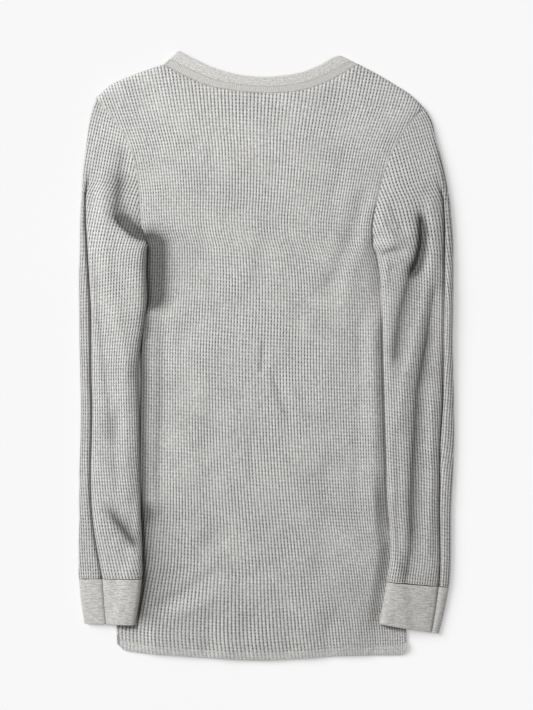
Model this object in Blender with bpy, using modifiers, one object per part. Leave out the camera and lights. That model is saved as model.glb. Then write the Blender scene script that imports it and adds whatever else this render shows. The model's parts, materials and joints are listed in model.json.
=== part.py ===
"""A long-sleeved waffle-knit thermal top, laid flat on its front with the sleeves folded down.

Frame: the top lies on z = 0 with its back up. +Y runs from the hem to the neck, +X is the wearer's
right, and the origin is on the surface, under the middle of the outline.
Tables are in millimetres. Every piece is a knitted wall: a surface through its sections, thickened.
"""
import math
from collections import namedtuple

import bpy

MM = 0.001

# --- Driving dimensions, mm -------------------------------------------------------------------
WALL = 1.2                  # thickness of one layer of the knit
SEAM_GAP = 0.4              # step between two pieces at a seam, about 0.3 square to it
LAYER = 1.8                 # rise from one resting layer to the next
FRONT_LEVEL = WALL / 2      # middle of the layer that lies on the surface
BACK_LEVEL = FRONT_LEVEL + LAYER
ARMHOLE_GAP = 0.6           # sideways step from a panel's armhole edge to the sleeve
CUFF_GAP = 0.4              # step along the sleeve from its end to the cuff
ARMHOLE_RISE = 3.0          # how far the armhole seam stands over the resting layers
EDGE_ROLL = 10.0            # width over which the back panel curves down at its sides
PLEAT_DEPTH = 10.0          # cloth hidden in the long pleat of each sleeve
SLEEVE_LIFT = 5.0           # rise of a sleeve where it lies on the body
LIFT_OUTSIDE = 10.0         # the rise starts this far outside the body's edge
LIFT_INSIDE = 2.0           # and is complete this far inside it
LIFT_TOP, LIFT_FULL = -130.0, -180.0    # stations along Y where the rise starts and is complete
FRONT_NECK_DROP = 86.0      # depth of the front neck seam under its shoulder points
FRONT_HOLE_DROP = 80.0      # depth of the front neckband's free edge under its folds
NECK_POWER = 2.5            # 2 gives a parabola, more gives a squarer scoop
NECK_STEPS = 14             # columns across the neck, on the panels and on the neckband

# --- Tables, mm -------------------------------------------------------------------------------
Side = namedtuple("Side", "y left right")
SIDES = (                   # outline of the body from the hem corners to the underarms
    Side(-331, -171.0, 160.7),
    Side(-308, -171.5, 160.3),
    Side(-280, -166.5, 157.0),
    Side(-250, -159.5, 152.0),
    Side(-215, -151.0, 145.5),
    Side(-180, -145.0, 140.0),
    Side(-140, -142.5, 137.2),
    Side(-90, -141.3, 135.6),
    Side(-40, -140.2, 134.2),
    Side(10, -139.8, 133.0),
    Side(50, -137.6, 132.2),
    Side(85, -136.3, 129.8),
    Side(110, -136.6, 126.0),
    Side(128, -137.5, 122.5),
)

Armhole = namedtuple("Armhole", "left_x left_y right_x right_y")
ARMHOLES = (                # armhole seams, from the underarm to the shoulder tip
    Armhole(-137.5, 128, 122.5, 128),
    Armhole(-141.8, 146, 121.6, 147),
    Armhole(-143.8, 166, 124.4, 166),
    Armhole(-145.0, 188, 129.0, 188),
    Armhole(-147.9, 210, 135.0, 210),
    Armhole(-153.8, 232, 143.5, 231),
    Armhole(-163.9, 255, 154.0, 250),
    Armhole(-179.0, 275, 167.5, 270.5),
    Armhole(-194.5, 296, 180.8, 283.8),
)
ARMHOLE_STEPS = len(ARMHOLES) - 1

Point = namedtuple("Point", "x y")
HEM = (
    Point(-171.0, -331.0), Point(-164.5, -338.5), Point(-120, -344), Point(-36, -349.7),
    Point(18, -347.6), Point(74, -344.4), Point(143, -343.9), Point(160.7, -337),
)
LEFT_SHOULDER = (Point(-194.5, 296), Point(-177.4, 310.3), Point(-151, 321.8), Point(-118.4, 333.5))
RIGHT_SHOULDER = (Point(105.4, 334.0), Point(128, 322), Point(148, 310), Point(165, 299),
                  Point(180.8, 283.8))
BACK_NECK = (               # seam between the back panel and the neckband
    Point(-118.4, 333.5), Point(-88.6, 318.2), Point(-64.4, 308.6), Point(-33.7, 303.2),
    Point(-4.6, 300.8), Point(27.6, 302.0), Point(48.6, 306.1), Point(76, 316.6), Point(105.4, 334.0),
)
BACK_HOLE = (               # free edge of the neckband across the back
    Point(-101.2, 349.6), Point(-87, 342), Point(-62.8, 330.5), Point(-33.7, 322), Point(0, 319.1),
    Point(35.7, 323.3), Point(60, 332), Point(76, 341), Point(85.6, 344.2),
)

Height = namedtuple("Height", "y level")
BACK_HEIGHTS = (            # middle of the back panel's wall, away from its edges
    Height(-350, 2.3), Height(-325, 3.0), Height(-260, 3.4), Height(-180, 3.9), Height(-100, 4.6),
    Height(100, 5.0), Height(240, 4.8), Height(300, 3.6), Height(335, 2.1),
)

Fold = namedtuple("Fold", "x1 y1 x2 y2 half_width depth")
BODY_FOLDS = (              # troughs are deep above zero, ridges below
    Fold(-128, 112, -127, 70, 12, 1.6),      # hollow under the left arm
    Fold(-126, 72, -128, -132, 8, 0.8),      # beside the roll at the left edge
    Fold(119, 108, 124, 60, 11, 1.0),        # hollow under the right arm
    Fold(2, -12, 24, -69, 12, 0.7),          # short drag line at the small of the back
    Fold(-128, -293, -59, -253, 13, 0.8),    # drag line from the left cuff
    Fold(-22, -300, -22, -350, 14, 0.5),     # flutes that run into the hem
    Fold(73, -300, 73, -350, 14, 0.5),
)
SLEEVE_FOLDS = (
    Fold(-192, 212, -188, 109, 10, -0.5),    # ridge down the left sleeve
    Fold(-179, 65, -157, -16, 10, -0.5),
    Fold(-176, -186, -145, -234, 9, 0.5),    # crease across it above the cuff
    Fold(176, 150, 156, 54, 10, 0.6),        # two troughs down the right sleeve
    Fold(187, 50, 168, -77, 10, 0.6),
    Fold(168, -77, 160, -255, 10, 0.6),
)

Section = namedtuple("Section", "outer_x outer_y inner_x inner_y tuck pleat stack")
# A row is one station along a sleeve: its outer and inner edges, the width of the strip outside
# the pleat, how much of the pleat is folded, and how far the layers are stacked.
LEFT_SLEEVE = (
    Section(-194.5, 296, -137.5, 128, 8, 0.0, 0.0),
    Section(-200.4, 276, -139.4, 118, 6.0, 0.0, 0.4),
    Section(-204.8, 250, -139.9, 106, 6.0, 0.0, 0.8),
    Section(-208.5, 222, -139.5, 92, 6.0, 0.01, 1.0),
    Section(-210.9, 192, -139.0, 76, 5.5, 0.3, 1.0),
    Section(-212.6, 160, -139.2, 58, 6.5, 0.7, 1.0),
    Section(-213.6, 126, -141.5, 36, 8.2, 1.0, 1.0),
    Section(-214.1, 90, -145.6, 10, 9.6, 1.0, 1.0),
    Section(-214.2, 52, -148.0, -18, 11.5, 1.0, 1.0),
    Section(-213.6, 14, -147.7, -46, 11.2, 1.0, 1.0),
    Section(-212.7, -24, -147.0, -74, 10.9, 1.0, 1.0),
    Section(-212.0, -62, -146.6, -101, 11.8, 1.0, 1.0),
    Section(-212.6, -98, -146.3, -127, 12.6, 1.0, 1.0),
    Section(-213.8, -134, -146.1, -153, 13.6, 1.0, 1.0),
    Section(-214.0, -168, -145.9, -180, 14.4, 1.0, 1.0),
    Section(-214.2, -200, -144.6, -206, 17.5, 0.9, 1.0),
    Section(-214.5, -230, -144.0, -232, 22.5, 0.6, 1.0),
    Section(-214.9, -257, -143.8, -256.6, 28.0, 0.3, 1.0),
)
LEFT_CUFF = (
    Section(-214.9, -257, -143.8, -256.6, 28.0, 0.3, 1.0),
    Section(-212.2, -283, -147.2, -283, 27.0, 0.2, 1.0),
    Section(-208.3, -308, -151.8, -309.4, 25.3, 0.2, 1.0),
)
RIGHT_SLEEVE = (
    Section(180.8, 283.8, 122.5, 128, 8, 0.0, 0.0),
    Section(189.0, 268, 127.4, 117, 6.0, 0.0, 0.4),
    Section(194.8, 246, 130.0, 104, 6.0, 0.0, 0.6),
    Section(200.8, 222, 131.9, 90, 6.0, 0.01, 1.0),
    Section(206.5, 196, 133.0, 75, 6.5, 0.2, 1.0),
    Section(211.0, 170, 133.7, 56, 9.0, 0.7, 1.0),
    Section(213.4, 136, 134.1, 34, 10.6, 1.0, 1.0),
    Section(214.0, 98, 134.4, 8, 12.0, 1.0, 1.0),
    Section(213.6, 58, 135.0, -20, 12.8, 1.0, 1.0),
    Section(213.1, 18, 135.9, -48, 13.4, 1.0, 1.0),
    Section(213.9, -22, 136.7, -76, 14.0, 1.0, 1.0),
    Section(214.8, -62, 137.6, -103, 14.8, 1.0, 1.0),
    Section(214.8, -100, 138.5, -129, 15.4, 1.0, 1.0),
    Section(213.6, -138, 139.8, -155, 14.6, 1.0, 1.0),
    Section(211.9, -174, 141.6, -182, 13.2, 1.0, 1.0),
    Section(211.7, -208, 143.9, -208, 12.2, 1.0, 1.0),
    Section(211.4, -238, 143.4, -235, 11.6, 1.0, 1.0),
    Section(209.5, -266.6, 139.3, -260, 12.2, 1.0, 1.0),
)
RIGHT_CUFF = (
    Section(209.5, -266.6, 139.3, -260, 13.0, 1.0, 1.0),
    Section(204.4, -293, 135.0, -285, 11.2, 1.0, 1.0),
    Section(197.9, -319.7, 130.5, -308.3, 8.9, 1.0, 1.0),
)

Ring = namedtuple("Ring", "to_tuck to_inner in_pleat shift height across layer")
# A row is one corner of a sleeve's section, in order round it. The first five columns place it on
# the pleated section: shares of the way to the tuck and to the inner edge, a share of the hidden
# cloth, a shift inwards and a height. The last two place it on the plain section at the armhole.
RING = (
    Ring(0.00, 1.00, 0, -2.40, 0.600, 0.97, 0.00),      # front layer, from the inner edge
    Ring(0.00, 0.875, 0, 0.00, 0.600, 0.875, 0.00),
    Ring(0.00, 0.75, 0, 0.00, 0.600, 0.75, 0.00),
    Ring(0.00, 0.625, 0, 0.00, 0.600, 0.625, 0.00),
    Ring(0.00, 0.50, 0, 0.00, 0.600, 0.50, 0.00),
    Ring(0.00, 0.375, 0, 0.00, 0.600, 0.375, 0.00),
    Ring(0.00, 0.25, 0, 0.00, 0.600, 0.25, 0.00),
    Ring(0.00, 0.125, 0, 0.00, 0.600, 0.125, 0.00),
    Ring(0.00, 0.00, 0, 1.50, 0.600, 0.03, 0.00),       # fold at the outer edge
    Ring(0.00, 0.00, 0, 0.72, 1.050, 0.00, 0.25),
    Ring(0.00, 0.00, 0, 0.72, 1.950, 0.00, 0.75),
    Ring(0.00, 0.00, 0, 1.50, 2.400, 0.03, 1.00),
    Ring(1.00, 0.00, 1, -0.90, 2.400, 0.125, 1.00),     # fold hidden under the pleat
    Ring(1.00, 0.00, 1, -0.12, 2.850, 0.14, 1.00),
    Ring(1.00, 0.00, 1, -0.12, 3.750, 0.15, 1.00),
    Ring(1.00, 0.00, 1, -0.90, 4.200, 0.16, 1.00),
    Ring(1.00, 0.00, 0, 1.50, 4.200, 0.17, 1.00),       # fold that shows at the pleat
    Ring(1.00, 0.00, 0, 0.72, 4.650, 0.18, 1.00),
    Ring(1.00, 0.00, 0, 0.72, 5.550, 0.19, 1.00),
    Ring(1.00, 0.00, 0, 1.50, 6.000, 0.21, 1.00),
    Ring(0.90, 0.10, 0, 0.00, 6.000, 0.25, 1.00),       # back layer
    Ring(0.75, 0.25, 0, 0.00, 5.800, 0.375, 1.00),
    Ring(0.60, 0.40, 0, 0.00, 5.700, 0.50, 1.00),
    Ring(0.45, 0.55, 0, 0.00, 5.700, 0.625, 1.00),
    Ring(0.30, 0.70, 0, 0.00, 5.700, 0.75, 1.00),
    Ring(0.16, 0.84, 0, 0.00, 5.400, 0.875, 1.00),
    Ring(0.06, 0.94, 0, 0.00, 4.900, 0.94, 1.00),
    Ring(0.00, 1.00, 0, -1.50, 4.000, 0.97, 1.00),      # fold at the inner edge
    Ring(0.00, 1.00, 0, -0.70, 2.800, 1.00, 0.75),
    Ring(0.00, 1.00, 0, -0.80, 1.500, 1.00, 0.25),
)
EASE_SECTIONS = 7           # sections over which a sleeve turns from the armhole seam to straight
MIN_PLEAT = 2.8             # the pleat's hidden cloth where it starts, mm

# --- Materials --------------------------------------------------------------------------------
Finish = namedtuple("Finish", "name colour roughness")
WAFFLE = Finish("waffle_knit", (0.45, 0.45, 0.44), 0.92)
JERSEY = Finish("rib_jersey", (0.55, 0.545, 0.53), 0.9)


def clear_scene():
    for item in list(bpy.data.objects):
        bpy.data.objects.remove(item, do_unlink=True)


def make_material(finish):
    material = bpy.data.materials.new(finish.name)
    material.use_nodes = True
    shader = material.node_tree.nodes["Principled BSDF"]
    shader.inputs["Base Color"].default_value = (*finish.colour, 1.0)
    shader.inputs["Roughness"].default_value = finish.roughness
    shader.inputs["Metallic"].default_value = 0.0
    return material


def mix(a, b, share):
    return a + (b - a) * share


def smoothstep(value):
    value = min(max(value, 0.0), 1.0)
    return value * value * (3 - 2 * value)


def smooth_through(rows, key, value):
    """A function of key that passes smoothly through the rows, with slopes from their neighbours."""
    keys = [getattr(row, key) for row in rows]
    values = [getattr(row, value) for row in rows]
    last = len(rows) - 1
    slopes = []
    for i in range(last + 1):
        low, high = max(i - 1, 0), min(i + 1, last)
        slopes.append((values[high] - values[low]) / (keys[high] - keys[low]))

    def at(where):
        i = 0
        while i < last - 1 and where > keys[i + 1]:
            i += 1
        span = keys[i + 1] - keys[i]
        t = min(max((where - keys[i]) / span, 0.0), 1.0)
        rise = values[i] * (1 + 2 * t) * (1 - t) ** 2 + values[i + 1] * t * t * (3 - 2 * t)
        bend = slopes[i] * t * (1 - t) ** 2 - slopes[i + 1] * t * t * (1 - t)
        return rise + bend * span

    return at


body_left = smooth_through(SIDES, "y", "left")
body_right = smooth_through(SIDES, "y", "right")
hem_y = smooth_through(HEM, "x", "y")
left_shoulder_y = smooth_through(LEFT_SHOULDER, "x", "y")
right_shoulder_y = smooth_through(RIGHT_SHOULDER, "x", "y")
back_neck_y = smooth_through(BACK_NECK, "x", "y")
back_hole_y = smooth_through(BACK_HOLE, "x", "y")
back_height = smooth_through(BACK_HEIGHTS, "y", "level")
NECK_LEFT, NECK_RIGHT = BACK_NECK[0], BACK_NECK[-1]
HOLE_LEFT, HOLE_RIGHT = BACK_HOLE[0], BACK_HOLE[-1]


def scoop_y(x, left, right, drop):
    """A front neckline: a squared-off parabola that hangs between two points."""
    share = min(max((x - left.x) / (right.x - left.x), 0.0), 1.0)
    return mix(left.y, right.y, share) - drop * (1 - abs(2 * share - 1) ** NECK_POWER)


def neck_share(i):
    """Columns across the neck, closer together at its two corners."""
    even = i / NECK_STEPS
    return mix(even, (1 - math.cos(math.pi * even)) / 2, 0.6)


def back_top_y(x):
    if x < NECK_LEFT.x:
        return left_shoulder_y(x)
    if x > NECK_RIGHT.x:
        return right_shoulder_y(x)
    return back_neck_y(x)


def front_top_y(x):
    if x < NECK_LEFT.x:
        return left_shoulder_y(x)
    if x > NECK_RIGHT.x:
        return right_shoulder_y(x)
    return scoop_y(x, NECK_LEFT, NECK_RIGHT, FRONT_NECK_DROP)


def fold_depth(x, y, folds):
    """Total depth of the folds at a point. Each one fades across its width and past its ends."""
    total = 0.0
    for fold in folds:
        run_x, run_y = fold.x2 - fold.x1, fold.y2 - fold.y1
        along = ((x - fold.x1) * run_x + (y - fold.y1) * run_y) / (run_x ** 2 + run_y ** 2)
        along = min(max(along, 0.0), 1.0)
        off = math.hypot(x - fold.x1 - along * run_x, y - fold.y1 - along * run_y)
        total += fold.depth * math.exp(-((off / fold.half_width) ** 2))
    return total


def armhole_rise(share):
    """Height of the armhole seam over its ends, which lie in the shoulder and side folds."""
    return ARMHOLE_RISE * math.sin(math.pi * min(max(share, 0.0), 1.0)) ** 0.8


def body_sides(step, steps_below):
    """Points on both sides of the body: up to the underarms, then up the armhole seams."""
    if step > steps_below:
        row = ARMHOLES[step - steps_below]
        return (row.left_x, row.left_y), (row.right_x, row.right_y)
    y = mix(SIDES[0].y, SIDES[-1].y, step / steps_below)
    return (body_left(y), y), (body_right(y), y)


def panel_columns(edge_shares, shoulder_steps):
    """Shares across a panel: close at the sides, even along the shoulders, shared at the neck."""
    left, right = ARMHOLES[-1].left_x, ARMHOLES[-1].right_x
    neck_left = (NECK_LEFT.x - left) / (right - left)
    neck_right = (NECK_RIGHT.x - left) / (right - left)
    shoulder = [mix(edge_shares[-1], neck_left, i / shoulder_steps) for i in range(1, shoulder_steps)]
    columns = list(edge_shares) + shoulder
    columns += [mix(neck_left, neck_right, neck_share(i)) for i in range(NECK_STEPS + 1)]
    shoulder = [mix(neck_right, 1 - edge_shares[-1], i / shoulder_steps) for i in range(1, shoulder_steps)]
    return columns + shoulder + [1 - share for share in reversed(edge_shares)]


def panel_points(columns, steps_below, top_y):
    """Rows of points in plan, filled in between the hem, the sides with armholes, and the top."""
    tips = ARMHOLES[-1]
    steps = steps_below + ARMHOLE_STEPS
    rows = []
    for j in range(steps + 1):
        left, right = body_sides(j, steps_below)
        up = 1.0 if j == steps else (left[1] - SIDES[0].y) / (tips.left_y - SIDES[0].y)
        row = []
        for share in columns:
            bow_low = hem_y(mix(HEM[0].x, HEM[-1].x, share)) - SIDES[0].y
            bow_top = top_y(mix(tips.left_x, tips.right_x, share)) - mix(tips.left_y, tips.right_y, share)
            y = mix(left[1], right[1], share) + bow_low * (1 - up) + bow_top * up
            row.append((mix(left[0], right[0], share), y))
        rows.append(row)
    return rows


def make_wall(name, rings, closed_round, closed_along, material, collection):
    """Lofts rows of points into an open surface and thickens it evenly to both sides."""
    count = len(rings[0])
    vertices = [(x * MM, y * MM, z * MM) for ring in rings for x, y, z in ring]
    faces = []
    for j in range(len(rings) if closed_along else len(rings) - 1):
        low, high = j * count, (j + 1) % len(rings) * count
        for i in range(count if closed_round else count - 1):
            k = (i + 1) % count
            faces.append((low + i, low + k, high + k, high + i))
    mesh = bpy.data.meshes.new(name)
    mesh.from_pydata(vertices, [], faces)
    mesh.shade_smooth()
    mesh.set_sharp_from_angle(angle=math.radians(50))
    mesh.materials.append(material)
    piece = bpy.data.objects.new(name, mesh)
    collection.objects.link(piece)
    wall = piece.modifiers.new("wall", "SOLIDIFY")
    wall.thickness = WALL * MM
    wall.offset = 0.0
    wall.use_even_offset = False
    wall.use_quality_normals = True
    return piece


def build_back_panel(material, collection):
    columns = panel_columns((0.0, 0.012, 0.034), 3)
    steps_below = 15
    plan = panel_points(columns, steps_below, back_top_y)
    rings = []
    for j, row in enumerate(plan):
        seam = armhole_rise((j - steps_below) / ARMHOLE_STEPS) if j > steps_below else 0.0
        ring = []
        for x, y in row:
            full = back_height(y) - fold_depth(x, y, BODY_FOLDS)
            edge = BACK_LEVEL + seam
            inside = min(x - row[0][0], row[-1][0] - x) / EDGE_ROLL
            roll = math.sqrt(1 - (1 - min(inside, 1.0)) ** 2)
            level = mix(edge, full, roll)
            if j == len(plan) - 1:
                level = BACK_LEVEL
            ring.append((x, y, max(level, BACK_LEVEL)))
        rings.append(ring)
    return make_wall("back_panel", rings, False, False, material, collection)


def build_front_panel(material, collection):
    columns = panel_columns((0.0,), 2)
    plan = panel_points(columns, 10, front_top_y)
    rings = [[(x, y, FRONT_LEVEL) for x, y in row] for row in plan]
    return make_wall("front_panel", rings, False, False, material, collection)


def armhole_point(share, side):
    """A point on the armhole seam, share 0 at the shoulder tip and 1 at the underarm."""
    place = (1 - share) * ARMHOLE_STEPS
    i = min(int(place), ARMHOLE_STEPS - 1)
    low, high = ARMHOLES[i], ARMHOLES[i + 1]
    if side == "left":
        return (mix(low.left_x, high.left_x, place - i) - ARMHOLE_GAP,
                mix(low.left_y, high.left_y, place - i))
    return (mix(low.right_x, high.right_x, place - i) + ARMHOLE_GAP,
            mix(low.right_y, high.right_y, place - i))


def lift_at(x, y, side):
    """Rise of a sleeve or cuff where it lies on the body's side."""
    inside = x - body_left(y) if side == "left" else body_right(y) - x
    across = smoothstep((inside + LIFT_OUTSIDE) / (LIFT_OUTSIDE + LIFT_INSIDE))
    return SLEEVE_LIFT * across * smoothstep((LIFT_TOP - y) / (LIFT_TOP - LIFT_FULL))


def sleeve_ring(section, side, turn):
    """One section of a sleeve. turn is 1 at the armhole seam and 0 where the section is straight."""
    span_x, span_y = section.inner_x - section.outer_x, section.inner_y - section.outer_y
    width = abs(span_x)
    hidden = MIN_PLEAT + (PLEAT_DEPTH - MIN_PLEAT) * section.pleat
    folded = 1.0 if section.pleat > 0 else 0.0
    tip, underarm = armhole_point(0, side), armhole_point(1, side)
    ring = []
    for row in RING:
        inward = section.tuck * row.to_tuck + width * row.to_inner + hidden * row.in_pleat + row.shift
        plain = row.across + (1 - 2 * row.across) * (WALL / 2) / width
        across = mix(plain, inward / width, folded)
        seam_x, seam_y = armhole_point(min(max(across, 0.0), 1.0), side)
        x = section.outer_x + span_x * across + turn * (seam_x - mix(tip[0], underarm[0], across))
        y = section.outer_y + span_y * across + turn * (seam_y - mix(tip[1], underarm[1], across))
        plain_height = mix(FRONT_LEVEL, BACK_LEVEL + armhole_rise(row.across), row.layer)
        height = mix(plain_height, row.height, section.stack)
        if row.to_tuck > 0 and row.in_pleat == 0 and row.to_inner > 0:
            height -= fold_depth(x, y, SLEEVE_FOLDS) * section.stack
        ring.append((x, y, height + lift_at(x, y, side)))
    return ring if side == "left" else ring[::-1]


def build_tube(name, sections, side, starts_at_armhole, start_gap, material, collection):
    rings = []
    for i, section in enumerate(sections):
        turn = max(1 - i / EASE_SECTIONS, 0.0) ** 1.5 if starts_at_armhole else 0.0
        if i == 0 and starts_at_armhole:
            step = -ARMHOLE_GAP if side == "left" else ARMHOLE_GAP
            section = section._replace(outer_x=section.outer_x + step, inner_x=section.inner_x + step)
        ring = sleeve_ring(section, side, turn)
        if i == 0:
            ring = [(x, y - start_gap, z) for x, y, z in ring]
        rings.append(ring)
    return make_wall(name, rings, True, False, material, collection)


def build_neckband(material, collection):
    """A flattened ring: its back half is in the back panel's layer, its front half lies under it."""
    radius = (BACK_LEVEL - FRONT_LEVEL) / 2
    middle = (BACK_LEVEL + FRONT_LEVEL) / 2

    def station(share, inset, level, frontness):
        """Three points across the band. The inset moves them inwards from the fold at their end."""
        seam_x = mix(NECK_LEFT.x, NECK_RIGHT.x, share) + inset
        hole_x = mix(HOLE_LEFT.x, HOLE_RIGHT.x, share) + inset
        front_seam = scoop_y(seam_x, NECK_LEFT, NECK_RIGHT, FRONT_NECK_DROP)
        front_hole = scoop_y(hole_x, HOLE_LEFT, HOLE_RIGHT, FRONT_HOLE_DROP)
        seam_y = mix(back_neck_y(seam_x), front_seam, frontness) + SEAM_GAP
        hole_y = mix(back_hole_y(hole_x), front_hole, frontness)
        return [(mix(seam_x, hole_x, across), mix(seam_y, hole_y, across), level)
                for across in (0.0, 0.5, 1.0)]

    def shoulder_fold(share, inward):
        """The half turn from the back half of the band to its front half."""
        stations = []
        for turn, frontness in ((-90, 0.0), (-30, 0.0), (30, 0.5), (90, 1.0)):
            angle = math.radians(turn)
            inset = WALL / 2 + radius * (1 - math.cos(angle))
            stations.append(station(share, inward * inset, middle - radius * math.sin(angle), frontness))
        return stations

    shares = [neck_share(i) for i in range(1, NECK_STEPS)]
    back = [station(share, 0, BACK_LEVEL, 0) for share in shares]
    front = [station(share, 0, FRONT_LEVEL, 1) for share in reversed(shares)]
    rings = back + shoulder_fold(1, -1) + front + shoulder_fold(0, 1)[::-1]
    return make_wall("neckband", rings, False, True, material, collection)


def build():
    clear_scene()
    collection = bpy.data.collections.new("thermal_top")
    bpy.context.scene.collection.children.link(collection)
    waffle, jersey = make_material(WAFFLE), make_material(JERSEY)
    build_front_panel(waffle, collection)
    build_back_panel(waffle, collection)
    build_tube("sleeve_left", LEFT_SLEEVE, "left", True, 0, waffle, collection)
    build_tube("sleeve_right", RIGHT_SLEEVE, "right", True, 0, waffle, collection)
    build_tube("cuff_left", LEFT_CUFF, "left", False, CUFF_GAP, jersey, collection)
    build_tube("cuff_right", RIGHT_CUFF, "right", False, CUFF_GAP, jersey, collection)
    build_neckband(jersey, collection)


build()
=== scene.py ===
"""Looks of the waffle-knit thermal top: laid flat on its front, seen from straight above.

The cloth is built from its own wales (knit columns) and courses (knit rows). Every waffle cloth is
a grid whose columns follow the wales and whose rows follow the courses, cut off at its seams, shaped
with soft creases, and raised along its normals into the waffle's ribs, bars and pits.
Tables and sizes are in millimetres; meshes are in metres. +Y runs from the hem to the neck.
"""

import json
import math
from collections import namedtuple

import bpy
import numpy as np
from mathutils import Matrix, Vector

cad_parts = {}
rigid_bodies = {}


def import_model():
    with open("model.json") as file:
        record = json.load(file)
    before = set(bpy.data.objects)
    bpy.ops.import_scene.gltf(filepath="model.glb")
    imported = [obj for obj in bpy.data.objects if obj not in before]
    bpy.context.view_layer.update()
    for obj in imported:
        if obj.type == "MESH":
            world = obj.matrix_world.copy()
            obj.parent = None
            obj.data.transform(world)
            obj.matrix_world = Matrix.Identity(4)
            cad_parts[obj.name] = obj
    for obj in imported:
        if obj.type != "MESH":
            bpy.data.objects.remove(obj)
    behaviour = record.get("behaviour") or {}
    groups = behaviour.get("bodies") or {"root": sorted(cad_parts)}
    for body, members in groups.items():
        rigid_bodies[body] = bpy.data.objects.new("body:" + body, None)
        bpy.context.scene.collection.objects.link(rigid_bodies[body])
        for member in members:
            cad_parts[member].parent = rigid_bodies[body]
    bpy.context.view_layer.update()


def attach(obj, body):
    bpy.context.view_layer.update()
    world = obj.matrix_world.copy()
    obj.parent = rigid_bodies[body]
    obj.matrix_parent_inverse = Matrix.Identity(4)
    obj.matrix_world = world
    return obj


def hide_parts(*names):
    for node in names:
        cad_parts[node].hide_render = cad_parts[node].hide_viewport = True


MM = 0.001
BODY = "root"

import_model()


def table(kind, *rows):
    """Rows with named columns."""
    return tuple(kind(*row) for row in rows)


# --- Outlines ---------------------------------------------------------------------------------
# These are the solids' own edges, apart from a sharper right corner of the hem. The sleeves' strips
# and pleats are set for the looks.
Side = namedtuple("Side", "y left right")
SIDES = table(              # outline of the body from the hem corners to the underarms
    Side, (-331, -171.0, 160.7), (-308, -171.5, 160.3), (-280, -166.5, 157.0),
    (-250, -159.5, 152.0), (-215, -151.0, 145.5), (-180, -145.0, 140.0), (-140, -142.5, 137.2),
    (-90, -141.3, 135.6), (-40, -140.2, 134.2), (10, -139.8, 133.0), (50, -137.6, 132.2),
    (85, -136.3, 129.8), (110, -136.6, 126.0), (128, -137.5, 122.5),
)
UNDERARM_Y = SIDES[-1].y

Armhole = namedtuple("Armhole", "left_x left_y right_x right_y")
ARMHOLES = table(           # armhole seams, from the underarm to the shoulder tip
    Armhole, (-137.5, 128, 122.5, 128), (-141.8, 146, 121.6, 147), (-143.8, 166, 124.4, 166),
    (-145.0, 188, 129.0, 188), (-147.9, 210, 135.0, 210), (-153.8, 232, 143.5, 231),
    (-163.9, 255, 154.0, 250), (-179.0, 275, 167.5, 270.5), (-194.5, 296, 180.8, 283.8),
)
LEFT_TIP_Y, RIGHT_TIP_Y = ARMHOLES[-1].left_y, ARMHOLES[-1].right_y

Point = namedtuple("Point", "x y")
HEM = table(
    Point, (-171.0, -331.0), (-164.5, -338.5), (-120, -344), (-36, -349.7), (18, -347.6),
    (74, -344.4), (148, -343.9), (156.8, -342.6), (160.7, -338.5),
)
LEFT_SHOULDER = table(
    Point, (-194.5, 296), (-177.4, 310.3), (-151, 321.8), (-118.4, 333.5),
)
RIGHT_SHOULDER = table(
    Point, (105.4, 334.0), (128, 322), (148, 310), (165, 299), (180.8, 283.8),
)
BACK_NECK = table(          # seam between the back panel and the neckband
    Point, (-118.4, 333.5), (-88.6, 318.2), (-64.4, 308.6), (-33.7, 303.2), (-4.6, 300.8),
    (27.6, 302.0), (48.6, 306.1), (76, 316.6), (105.4, 334.0),
)
BACK_HOLE = table(          # free edge of the neckband across the back
    Point, (-101.2, 349.6), (-87, 342), (-62.8, 330.5), (-33.7, 322), (0, 319.1), (35.7, 323.3),
    (60, 332), (76, 341), (85.6, 344.2),
)
FRONT_NECK_DROP = 86.0      # depth of the front neck seam under its shoulder points
FRONT_HOLE_DROP = 80.0
NECK_POWER = 2.5            # 2 gives a parabola, more gives a squarer scoop

Station = namedtuple("Station", "outer_x outer_y inner_x inner_y tuck pleat")
# One station along a sleeve or cuff: its edges, the strip outside the long pleat, and how much of
# the pleat is folded.
LEFT_SLEEVE = table(
    Station, (-194.5, 296, -137.5, 128, 8, 0.0), (-200.4, 276, -139.4, 118, 6.0, 0.0),
    (-204.8, 250, -139.9, 106, 6.0, 0.0), (-208.5, 222, -139.5, 92, 6.0, 0.0),
    (-210.9, 192, -139.0, 76, 5.5, 0.3), (-212.6, 160, -139.2, 58, 6.5, 0.7),
    (-213.6, 126, -141.5, 36, 9.4, 1.0), (-214.1, 90, -145.6, 10, 12.0, 1.0),
    (-214.2, 52, -148.0, -18, 14.2, 1.0), (-213.6, 14, -147.7, -46, 14.0, 1.0),
    (-212.7, -24, -147.0, -74, 13.2, 1.0), (-212.0, -62, -146.6, -101, 13.4, 1.0),
    (-212.6, -98, -146.3, -127, 13.4, 1.0), (-213.8, -134, -146.1, -153, 13.6, 1.0),
    (-214.0, -168, -145.9, -180, 14.4, 1.0), (-214.2, -200, -144.6, -206, 17.5, 0.9),
    (-214.5, -230, -144.0, -232, 22.5, 0.6), (-214.9, -257, -143.8, -256.6, 28.0, 0.4),
)
LEFT_CUFF = table(
    Station, (-214.9, -257, -143.8, -256.6, 28.0, 0.4), (-212.2, -283, -147.2, -283, 27.0, 0.4),
    (-208.3, -308, -151.8, -309.4, 25.3, 0.4),
)
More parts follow.
